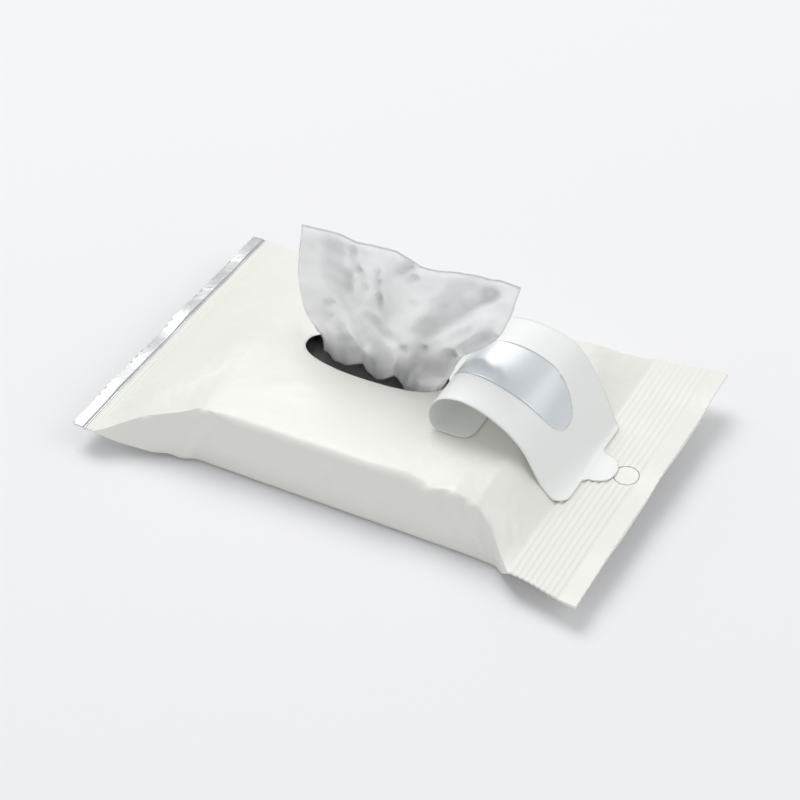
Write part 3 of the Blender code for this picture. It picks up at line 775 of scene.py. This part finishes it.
    def build(self, film: bpy.types.Material, foil: bpy.types.Material) -> bpy.types.Object:
        """Builds the pouch, cuts its hole and gives it the film's thickness."""
        points = self.wrinkled()
        rows, columns = points.shape[0], points.shape[1]
        shape = bmesh.new()
        bmesh.ops.create_grid(shape, x_segments=rows - 1, y_segments=columns - 1, size=1.0)
        for vert in shape.verts:
            row = round((vert.co.x + 1) / 2 * (rows - 1))
            column = round((vert.co.y + 1) / 2 * (columns - 1))
            vert.co = Vector(points[row, column])
        bmesh.ops.remove_doubles(shape, verts=shape.verts, dist=1e-4)
        ends = [edge for edge in shape.edges if edge.is_boundary]
        bmesh.ops.holes_fill(shape, edges=ends, sides=0)
        caps = [face for face in shape.faces if len(face.verts) > 4]
        bmesh.ops.triangulate(shape, faces=caps)
        bmesh.ops.recalc_face_normals(shape, faces=shape.faces)
        pouch = finished("pouch_film_skin", shape, film, ("film_pouch",))
        pouch.data.materials.append(foil)
        self.cut_hole(pouch)
        thicken(pouch, self.film, -1.0, 1)
        apply_modifiers(pouch)
        log.info("pouch: %d faces", len(pouch.data.polygons))
        return pouch

    def cut_hole(self, pouch: bpy.types.Object) -> None:
        """Cuts the oval hole in the top film only.

        Args:
            pouch: The closed tube, changed in place.
        """
        cutter = bmesh.new()
        bmesh.ops.create_circle(cutter, cap_ends=True, segments=self.hole_sides, radius=1.0)
        for vert in cutter.verts:
            x, y = self.hole.point(math.atan2(vert.co.y, vert.co.x))
            vert.co = (self.hole_x + x, self.hole_y + y, self.shape.body_top() - self.knife_depth)
        drawn = bmesh.ops.extrude_face_region(cutter, geom=cutter.faces[:])
        raised = [item for item in drawn["geom"] if isinstance(item, bmesh.types.BMVert)]
        bmesh.ops.translate(cutter, verts=raised, vec=(0, 0, self.knife_length))
        bmesh.ops.recalc_face_normals(cutter, faces=cutter.faces)
        bmesh.ops.scale(cutter, vec=(MM, MM, MM), verts=cutter.verts)
        data = bpy.data.meshes.new("hole_knife")
        cutter.to_mesh(data)
        cutter.free()
        marker = bpy.data.materials.new("cut_face")
        data.materials.append(marker)
        knife = bpy.data.objects.new("hole_knife", data)
        bpy.context.scene.collection.objects.link(knife)
        boolean = pouch.modifiers.new("hole", "BOOLEAN")
        boolean.operation = "DIFFERENCE"
        boolean.solver = "EXACT"
        boolean.material_mode = "TRANSFER"
        boolean.object = knife
        apply_modifiers(pouch)
        marked = [i for i, m in enumerate(pouch.data.materials) if m == marker]
        shape = bmesh.new()
        shape.from_mesh(pouch.data)
        walls = [face for face in shape.faces if face.material_index in marked]
        bmesh.ops.delete(shape, geom=walls, context="FACES")
        shape.to_mesh(pouch.data)
        shape.free()
        for index in marked:
            pouch.data.materials.pop(index=index)
        bpy.data.objects.remove(knife)
        bpy.data.meshes.remove(data)
        bpy.data.materials.remove(marker)


@dataclass
class LabelPath:
    """The label's way from its stuck end, round its fold and down to the wide seal."""

    fold_x: float = 19.5
    length: float = 82.0
    width: float = 41.0
    lift: float = 0.45
    near: tuple[tuple[float, float], ...] = (
        (13.5, 0.2), (8, 0.2), (3.4, 0.2), (1.6, 0.9), (0.4, 2.9), (0, 5.5), (0.8, 8.6), (2.8, 11.3),
        (5.7, 12.9), (9.6, 13.6), (14.2, 13.0), (18.6, 11.5), (23.4, 9), (27.4, 6.0), (31, 2),
        (34.2, -3.6), (37.2, -8.6), (40.4, -11.4), (44.5, -12.0))
    far: tuple[tuple[float, float], ...] = (
        (13.5, 0.2), (8, 0.2), (3.4, 0.2), (1.6, 0.9), (0.4, 3.1), (0, 6.2), (0.9, 10.2), (3.5, 13.8),
        (7, 15.8), (12.5, 16.8), (18.5, 16.6), (23.5, 15.5), (28, 13.6), (31.6, 10), (34.6, 5.4),
        (37.6, 0.4), (40.0, -5), (42.2, -10), (44.8, -12.8))

    def edge_point(self, points: Points, share: float) -> tuple[float, float]:
        """Reads a smooth curve through an edge's points at a share of its length."""
        spans = [math.dist(a, b) for a, b in zip(points, points[1:])]
        left = min(max(share, 0.0), 1.0) * sum(spans)
        index = 0
        while index < len(spans) - 1 and left > spans[index]:
            left -= spans[index]
            index += 1
        t = left / spans[index]
        p = [points[min(max(index + k, 0), len(points) - 1)] for k in (-1, 0, 1, 2)]
        weights = (-0.5 * t + t ** 2 - 0.5 * t ** 3, 1 - 2.5 * t ** 2 + 1.5 * t ** 3,
                   0.5 * t + 2 * t ** 2 - 1.5 * t ** 3, -0.5 * t ** 2 + 0.5 * t ** 3)
        return tuple(sum(w * q[axis] for w, q in zip(weights, p)) for axis in (0, 1))

    def middle(self, s: float, t: float, floor: Callable[[float, float], float], top: float) -> Vector:
        """Gives a point of the label's film.

        Args:
            s: Way along the label from its stuck end.
            t: Way across it.
            floor: Height of the pouch under a point of the plan.
            top: Height of the pouch's crown.

        Returns:
            The point, in millimetres.
        """
        far = t / self.width + 0.5
        a = self.edge_point(self.near, s / self.length)
        b = self.edge_point(self.far, s / self.length)
        x = self.fold_x + a[0] + (b[0] - a[0]) * far + max(0.0, s - self.length)
        z = top + a[1] + (b[1] - a[1]) * far
        return Vector((x, t, max(z, floor(x, t) + self.lift)))


@dataclass
class PeelLabel:
    """The label, folded back to the right, and the oval of film that came away with it."""

    floor: Callable[[float, float], float]
    top: float
    path: LabelPath = field(default_factory=LabelPath)
    film: float = 0.16
    corner: float = 5.0
    tab_length: float = 7.4
    tab_width: float = 12.6
    tab_shift: float = -0.8
    tab_power: float = 2.4
    tab_root: float = 1.4
    strip: float = 18.0
    hole: Oval = field(default_factory=Oval)
    foil: float = 0.1
    foil_gap: float = 0.05
    pitch: float = 1.0
    oval_count: int = 72

    def point(self, s: float, t: float, offset: float) -> Vector:
        """Gives a point over the label's sticky side."""
        step = 0.3
        ds = (self.path.middle(s + step, t, self.floor, self.top)
              - self.path.middle(s - step, t, self.floor, self.top))
        dt = (self.path.middle(s, t + step, self.floor, self.top)
              - self.path.middle(s, t - step, self.floor, self.top))
        return self.path.middle(s, t, self.floor, self.top) + ds.cross(dt).normalized() * offset

    def arc(self, x: float, y: float, start: float, end: float) -> list[tuple[float, float]]:
        """Lists the points of a rounded corner between two angles in degrees."""
        angles = np.radians(np.linspace(start, end, 9))
        return [(x + self.corner * math.cos(a), y + self.corner * math.sin(a)) for a in angles]

    def outline(self) -> list[tuple[float, float]]:
        """Lists the label's die-cut outline, with its corners and its lift tab."""
        half, r, length = self.path.width / 2, self.corner, self.path.length
        points = self.arc(r, -half + r, 180, 270) + self.arc(length - r, -half + r, -90, 0)
        reach = self.tab_width / 2
        points.append((length, self.tab_shift - reach - self.tab_root))
        for angle in np.linspace(-math.pi / 2, math.pi / 2, 29):
            across = math.copysign(abs(math.sin(angle)) ** (2 / self.tab_power), angle)
            out = abs(math.cos(angle)) ** (2 / self.tab_power)
            root = self.tab_root * (1 - min(1.0, out * self.tab_length / self.tab_root)) ** 2
            points.append((length + 0.05 + self.tab_length * out,
                           self.tab_shift + across * (reach + root)))
        points.append((length, self.tab_shift + reach + self.tab_root))
        points += self.arc(length - r, half - r, 0, 90) + self.arc(r, half - r, 90, 180)
        return points

    def oval(self) -> list[tuple[float, float]]:
        """Lists the cut-out's outline where it lies on the label."""
        centre = self.strip + self.hole.length / 2
        angles = np.linspace(0, 2 * math.pi, self.oval_count, endpoint=False)
        return [(centre + x, y) for x, y in map(self.hole.point, angles)]

    def bend(self, outline: Points, offset: float) -> bmesh.types.BMesh:
        """Cuts a flat outline into strips and bends it along the label's way.

        Args:
            outline: Outline as (along, across) points.
            offset: Height over the label's middle.

        Returns:
            The bent sheet.
        """
        shape = bmesh.new()
        shape.faces.new([shape.verts.new((s, t, 0)) for s, t in outline])
        for axis, normal in ((0, (1, 0, 0)), (1, (0, 1, 0))):
            low = min(p[axis] for p in outline)
            high = max(p[axis] for p in outline)
            for place in np.arange(low + self.pitch, high - self.pitch / 4, self.pitch):
                bmesh.ops.bisect_plane(
                    shape, geom=shape.verts[:] + shape.edges[:] + shape.faces[:], dist=1e-4,
                    plane_co=Vector(normal) * place, plane_no=normal)
        for vert in shape.verts:
            vert.co = self.point(vert.co.x, vert.co.y, offset)
        bmesh.ops.recalc_face_normals(shape, faces=shape.faces)
        return shape

    def build(self, paper: bpy.types.Material, foil: bpy.types.Material) -> None:
        """Builds the label and the foil-faced cut-out on it."""
        sheet = self.bend(self.outline(), 0.0)
        label = finished("peel_label", sheet, paper, ("resealable_label",))
        thicken(label, self.film, 0.0)
        apply_modifiers(label)
        patch = self.bend(self.oval(), self.film + self.foil_gap)
        cut_out = finished("foil_cut_out", patch, foil, ("hole_cut_out",))
        thicken(cut_out, self.foil, 0.0)
        apply_modifiers(cut_out)
        log.info("label: %d faces, cut-out: %d faces", len(label.data.polygons),
                 len(cut_out.data.polygons))


@dataclass
class QuarterFold:
    """A cloth folded in half twice, so that four layers lie on each other.

    Its first fold runs along the top edge and its second one up the left edge, as on a bench:
    the outer pair of layers is joined round the left edge, and each pair over the top edge.
    """

    cut: tuple[float, float] = (184.0, 160.0)
    cloth: float = 0.24
    pitch: float = 0.36
    turn: float = 1.1
    back_drop: float = 0.6

    def folded(self, points: np.ndarray, columns: int, rows: int) -> np.ndarray:
        """Folds the cut along a surface.

        Args:
            points: The surface's points, from the left fold and from the bottom edge up.
            columns: Quads along the cut's length.
            rows: Quads along its width.

        Returns:
            Points of the whole cut.
        """
        across, up = np.gradient(points, axis=0), np.gradient(points, axis=1)
        out = np.cross(across, up)
        out /= np.maximum(np.linalg.norm(out, axis=2, keepdims=True), 1e-9)
        up /= np.maximum(np.linalg.norm(up, axis=2, keepdims=True), 1e-9)
        i, j = np.meshgrid(np.arange(columns + 1), np.arange(rows + 1), indexing="ij")
        u, v = abs(i - columns // 2), rows // 2 - abs(j - rows // 2)
        front = np.clip((columns / 2 - i) * self.cut[0] / columns / self.turn, -1, 1)
        outer = np.clip((rows / 2 - j) * self.cut[1] / rows / self.turn, -1, 1)
        offset = self.pitch * np.sin(front * math.pi / 2) * (1 + 0.5 * np.sin(outer * math.pi / 2))
        height = v * self.cut[1] / rows
        drop = self.back_drop * np.clip(-front, 0, 1) * ease(1 - (self.cut[1] / 2 - height) / 8)
        return points[u, v] + out[u, v] * offset[..., None] - up[u, v] * drop[..., None]

    def build(self, name: str, surface: Callable[[np.ndarray, np.ndarray], np.ndarray],
              columns: int, rows: int, cloth: bpy.types.Material, node: str, held: str,
              rests_on: Sequence[str]) -> bpy.types.Object:
        """Args:
            name: Name of the piece.
            surface: Gives points for ways from the left fold and from the bottom edge.
            columns: Quads along the cut's length, an even number.
            rows: Quads along its width, an even number.
            cloth: Material.
            node: Node that the piece stands for.
            held: How the sheet is held. Not used.
            rests_on: What it rests on. Not used.

        Returns:
            The piece's object.
        """
        u = np.linspace(0, self.cut[0] / 2, columns // 2 + 1)
        v = np.linspace(0, self.cut[1] / 2, rows // 2 + 1)
        points = self.folded(surface(*np.meshgrid(u, v, indexing="ij")), columns, rows)
        shape = bmesh.new()
        bmesh.ops.create_grid(shape, x_segments=columns, y_segments=rows, size=1.0)
        for vert in shape.verts:
            i = round((vert.co.x + 1) / 2 * columns)
            j = round((vert.co.y + 1) / 2 * rows)
            vert.co = Vector(points[i, j])
        made = finished(name, shape, cloth, (node,))
        made.data.set_sharp_from_angle(angle=math.radians(180))
        thicken(made, self.cloth, 0.0)
        apply_modifiers(made)
        return made


CLOTH_NECK = ((0, 3.0), (0.12, 1.0), (0.3, 1.8), (0.46, 0.6), (0.64, 0.8), (0.78, -2.4),
              (0.9, -3.4), (1, -1.2))
CLOTH_LEFT = ((21.3, -28.5), (22.9, -29.2), (27.7, -31.9), (34.6, -34.1), (39.9, -35), (45.3, -35.6),
              (54.8, -34.9), (63.5, -33.7))
CLOTH_RIGHT = ((21.3, 13.5), (23, 15), (28, 17), (30, 17.8), (32.5, 19), (36.5, 21.5), (38.5, 24.5),
               (40.5, 26.8), (44.5, 30.5), (47.1, 32.8), (51.5, 34.4), (56.3, 36), (61.3, 37.2),
               (66.3, 38.4))
CLOTH_TOP = ((0, 64.6), (0.033, 64.9), (0.111, 65.3), (0.183, 65.6), (0.258, 64.5), (0.333, 65.2),
             (0.403, 65.5), (0.444, 65.7), (0.479, 64.8), (0.517, 63.9), (0.553, 63.0),
             (0.589, 62.8), (0.625, 63), (0.661, 63.5), (0.697, 64.4), (0.733, 64.9),
             (0.804, 65.6), (0.875, 65.9), (0.911, 66.7), (0.982, 66.4), (1, 66.2))
CLOTH_FOLDS = (
    Fold(((-24.5, 64), (-23.7, 53.9), (-23.1, 49.2), (-20.2, 43.1), (-17.8, 37.6), (-15.4, 32.6),
          (-13, 28.5), (-11.8, 23.8)), 2.2, 7, 3.2, 0.3, 0.12, 0.55),
    Fold(((-15.8, 63.5), (-16.7, 57.9), (-15.3, 54.5), (-17.6, 51.1), (-18.5, 46.8), (-19.8, 43.2)),
         0.9, 1.6, 2.4, 0.2, 0.2, 0.6),
    Fold(((-18.7, 63), (-18.3, 58.7), (-19.2, 54.9), (-20.5, 50.1)), -0.6, 2, 2, 0.4, 0.3, 0.3),
    Fold(((-13.5, 56.8), (-14, 51), (-12.8, 48.3), (-14, 43.4), (-12.9, 39.4)), 0.7, 1.6, 2.5, 0.3,
         0.3, 0.5),
    Fold(((-7.4, 61.1), (-6.5, 56.6), (-6.7, 50.4), (-6.3, 46.1), (-5.9, 40.5)), -1.2, 2.4, 1.4, 0.3,
         0.25, 0.5),
    Fold(((-14, 40), (-10, 37.2), (-5.5, 33.9), (-2.3, 32.3), (0.6, 29.7)), 1.1, 3, 2.5, 0.3, 0.3,
         0.5),
    Fold(((-27, 37.2), (-21.5, 40.4)), 0.7, 1.4, 1.8, 0.2, 0.35, 0.6),
    Fold(((-24.8, 36.5), (-25.2, 30.2)), 0.6, 1.6, 2, 0.3, 0.35, 0.4),
    Fold(((-31, 62), (-31.1, 50.9), (-33, 42)), 0.7, 5, 3, 1.2, 0.35, 0),
    Fold(((6.8, 62.3), (2.5, 61), (-3.2, 55.8)), 0.9, 1.8, 2.2, 0.3, 0.3, 0.5),
    Fold(((5.4, 59.6), (0.9, 54.8)), 0.7, 1.8, 2, 0.3, 0.3, 0.5),
    Fold(((34, 64), (27.7, 58.6), (22, 53.5), (16.8, 48.3), (11.3, 43), (8.1, 39.5), (4, 33.5)),
         2.6, 2.6, 4.5, 0.35, 0.2, 0.5),
    Fold(((32.9, 56), (26.2, 50), (18.7, 43), (14.2, 37), (10.3, 29.4)), -1.2, 4, 3, 1, 0.3, 0),
    Fold(((25, 48.5), (19.4, 42.3), (13, 35.5)), 0.6, 2, 2, 0.4, 0.35, 0.4),
    Fold(((32, 46.6), (26.4, 42.3), (22.3, 38), (18.5, 33.5)), 1.6, 2.5, 2.5, 0.5, 0.25, 0.3),
    Fold(((17.7, 35.5), (16, 32.7), (15, 28.6), (13.5, 24.5)), 1.2, 2, 2.5, 0.4, 0.25, 0.4),
    Fold(((27.5, 66), (22.5, 60.8), (19.1, 57), (15.4, 52.6), (11.9, 49.4), (8.4, 44.3)), 1.4, 3, 4,
         0.3, 0.25, 0.5),
    Fold(((-1.5, 30.6), (2.5, 29.6)), 0.6, 1.5, 1.8, 0.4, 0.4, 0.3),
    Fold(((5, 32), (8, 34.5)), 0.6, 1.6, 1.8, 0.4, 0.4, 0.3),
)


@dataclass
class DrawnSheet:
    """The sheet drawn half out of the hole: a fan of soft pleats, gathered at the film's edge."""

    hole_z: float = 21.3
    foot_z: float = 17.3
    fan: float = 44.0
    lean: tuple[float, float] = (0.56, 0.825)
    lump: float = 2.6
    columns: int = 200
    rows: int = 150
    fold: QuarterFold = field(default_factory=lambda: QuarterFold(pitch=0.3, cloth=0.2))

    def fan_point(self, u: np.ndarray, v: np.ndarray) -> np.ndarray:
        """Gives points of the fan. A fold that stands forward is over to the right and up.

        Args:
            u: Shares across the fan, from its left edge.
            v: Shares up the fan, from the hole.

        Returns:
            Points, in millimetres.
        """
        top = along(CLOTH_TOP, u, 0.008)
        z = self.hole_z + (top - self.hole_z) * v
        left, right = along(CLOTH_LEFT, z, 1.2), along(CLOTH_RIGHT, z, 1.2)
        x = left + (right - left) * u
        low = 1 - ease(v / 0.42)
        swell = np.sin(np.pi * np.clip(u, 0, 1)) ** 0.4
        y = low * along(CLOTH_NECK, u, 0.03)
        y -= self.lump * ease(1 - abs(v - 0.12) / 0.11) * ease(1 - abs(u - 0.86) / 0.14)
        y += 3.8 * ease(v / 0.5) * (np.clip(1 - u / 0.24, 0, 1) ** 2
                                    + 0.5 * np.clip((u - 0.85) / 0.15, 0, 1) ** 2 - 0.12)
        sway = 0.05 * np.sin(5 * v + 2)
        y += swell * (0.8 * (0.9 + low) * np.sin(2 * np.pi * (3.4 * u + sway) + 0.6)
                      + 0.6 * (0.1 + low) * np.sin(2 * np.pi * (7.3 * u + 0.3 * v)))
        lift = np.zeros(u.shape)
        for crease in CLOTH_FOLDS:
            lift += crease.lift(x, z)
        lift *= ease(v / 0.15)
        soft = np.zeros(u.shape)
        for index in np.ndindex(u.shape):
            spot = Vector((x[index], z[index], 3.0))
            soft[index] = (0.45 * noise.noise(spot / 7.0)
                           + 0.5 * abs(noise.noise(spot / 4.2 + Vector((9, 2, 5))))
                           + 0.14 * noise.noise(spot / 1.9)
                           + 0.9 * low[index] * abs(noise.noise(Vector((x[index], z[index], 8.0)) / 3.6)))
        y -= lift + soft
        lean = ease(v / 0.3)
        return np.stack([x - self.lean[0] * y * lean, y, z - self.lean[1] * y * lean], axis=-1)

    def surface(self, u: np.ndarray, v: np.ndarray) -> np.ndarray:
        """Gives points of the sheet: its fan, its neck through the hole, and its foot."""
        across = u / (self.fold.cut[0] / 2)
        height = self.fold.cut[1] / 2
        foot = height - self.fan - (self.hole_z - self.foot_z)
        share = np.clip((v - (height - self.fan)) / self.fan, 0, None)
        points = self.fan_point(across, share)
        neck = points[..., 1] + 0 * v
        sunk = np.clip((height - self.fan - v) / (self.hole_z - self.foot_z), 0, 1)
        run = np.clip(foot - v, 0, None)
        z = np.where(share > 0, points[..., 2], self.hole_z - (self.hole_z - self.foot_z) * sunk)
        spread = ease(run / 20.0)
        middle = (points[..., 0] + 7.5) * (1 + 0.95 * spread) - 7.5
        calm = 1 - 0.8 * spread
        y = np.where(run > 0, 1.0 + (neck - 1.0) * calm + run, neck)
        return np.stack([np.where(run > 0, middle, points[..., 0]), y, z], axis=-1)

    def build(self, cloth: bpy.types.Material) -> bpy.types.Object:
        """Builds the drawn sheet."""
        made = self.fold.build("drawn_cloth", self.surface, self.columns, self.rows, cloth,
                               "drawn_sheet", "gathered", ["folded_sheet_09"])
        log.info("drawn sheet: %d faces", len(made.data.polygons))
        return made


@dataclass
class Stack:
    """The folded sheets that are still in the pouch."""

    margin: float = 0.5
    columns: int = 28
    rows: int = 24
    fold: QuarterFold = field(default_factory=QuarterFold)

    def build(self, cloth: bpy.types.Material) -> None:
        """Builds each sheet in its own box."""
        names = sorted(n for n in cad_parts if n.startswith("folded_sheet"))
        for number, name in enumerate(names):
            low, high = (np.array(corner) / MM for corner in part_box(name))
            middle, room = (low + high) / 2, high - low - 2 * self.margin

            def surface(u: np.ndarray, v: np.ndarray) -> np.ndarray:
                """Lays the sheet flat in its box, with its top fold at the near side."""
                x = low[0] + self.margin + room[0] * u / (self.fold.cut[0] / 2)
                y = high[1] - self.margin - room[1] * v / (self.fold.cut[1] / 2)
                return np.stack([x, y, np.full_like(x, middle[2])], axis=-1)

            carrier = names[number - 1] if number else "film_pouch"
            self.fold.build(f"{name}_cloth", surface, self.columns, self.rows, cloth, name,
                            "folded", [carrier])


@dataclass(frozen=True)
class Studio:
    """Pale floor, soft light from the far left, and the camera."""

    azimuth: float = 27.9
    elevation: float = 38.9
    distance: float = 778.5
    focal: float = 112.5
    target: tuple[float, float, float] = (-6.64, 11.04, 0.0)
    sensor: float = 36.0
    lamps: tuple[tuple[str, tuple[float, float, float], float], ...] = (
        ("key", (-0.94, 0.66, 1.99), 25.5), ("side", (1.73, 0.31, 1.48), 7.5))
    lamp_size: float = 1.4
    floor_half: float = 3.0
    world_colour: str = "#F8F9FB"
    world_strength: float = 0.56

    def build(self) -> None:
        """Builds the floor, the lamps, the world and the camera."""
        self.floor()
        for name, place, power in self.lamps:
            self.lamp(name, place, power)
        world = bpy.data.worlds.new("studio")
        bpy.context.scene.world = world
        world.use_nodes = True
        back = world.node_tree.nodes["Background"]
        back.inputs["Color"].default_value = linear(self.world_colour)
        back.inputs["Strength"].default_value = self.world_strength
        self.camera()
        bpy.context.scene.view_settings.view_transform = "Standard"

    def floor(self) -> None:
        """Lays a large pale floor."""
        shape = bmesh.new()
        bmesh.ops.create_grid(shape, x_segments=1, y_segments=1, size=self.floor_half)
        data = bpy.data.meshes.new("floor")
        shape.to_mesh(data)
        shape.free()
        made = bpy.data.objects.new("floor", data)
        bpy.context.scene.collection.objects.link(made)
        paint = Finish("matt_floor", "#F3F3F5", 0.8)
        data.materials.append(paint.start()[0])

    def lamp(self, name: str, place: tuple[float, float, float], power: float) -> None:
        """Adds a soft square lamp that looks at the pack.

        Args:
            name: Name of the lamp.
            place: Where it hangs, in metres.
            power: Power in watts.
        """
        data = bpy.data.lights.new(name, "AREA")
        data.shape = "SQUARE"
        data.size = self.lamp_size
        data.energy = power
        made = bpy.data.objects.new(name, data)
        made.location = place
        made.rotation_euler = (-Vector(place)).to_track_quat("-Z", "Y").to_euler()
        bpy.context.scene.collection.objects.link(made)

    def camera(self) -> None:
        """Sets the camera at the photograph's viewing angle."""
        a, e = math.radians(self.azimuth), math.radians(self.elevation)
        back = Vector((math.sin(a) * math.cos(e), -math.cos(a) * math.cos(e), math.sin(e)))
        data = bpy.data.cameras.new("camera")
        data.lens = self.focal
        data.sensor_width = self.sensor
        made = bpy.data.objects.new("camera", data)
        made.location = (Vector(self.target) + back * self.distance) * MM
        made.rotation_euler = (-back).to_track_quat("-Z", "Y").to_euler()
        bpy.context.scene.collection.objects.link(made)
        bpy.context.scene.camera = made


def main() -> None:
    """Builds the studio and the pieces in order."""
    logging.basicConfig(level=logging.INFO, format="%(name)s: %(message)s")
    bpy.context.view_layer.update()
    Studio().build()
    film, foil = SatinFilm().build(), FoilLayer().build()
    pouch = FilmPouch()
    skin = pouch.build(film, foil)
    body_top = pouch.shape.body_top() + pouch.shape.crown

    tree = BVHTree.FromPolygons([tuple(v.co / MM) for v in skin.data.vertices],
                                [tuple(p.vertices) for p in skin.data.polygons])

    def floor(x: float, y: float) -> float:
        """Height of the pouch under a point of the plan."""
        hit = tree.ray_cast(Vector((x, y, 60.0)), Vector((0, 0, -1)))
        return hit[0].z if hit[0] else 0.0

    PeelLabel(floor, body_top).build(LabelFilm().build(), foil)
    cloth = Nonwoven().build()
    DrawnSheet().build(cloth)
    Stack().build(cloth)


if __name__ == "__main__":
    main()
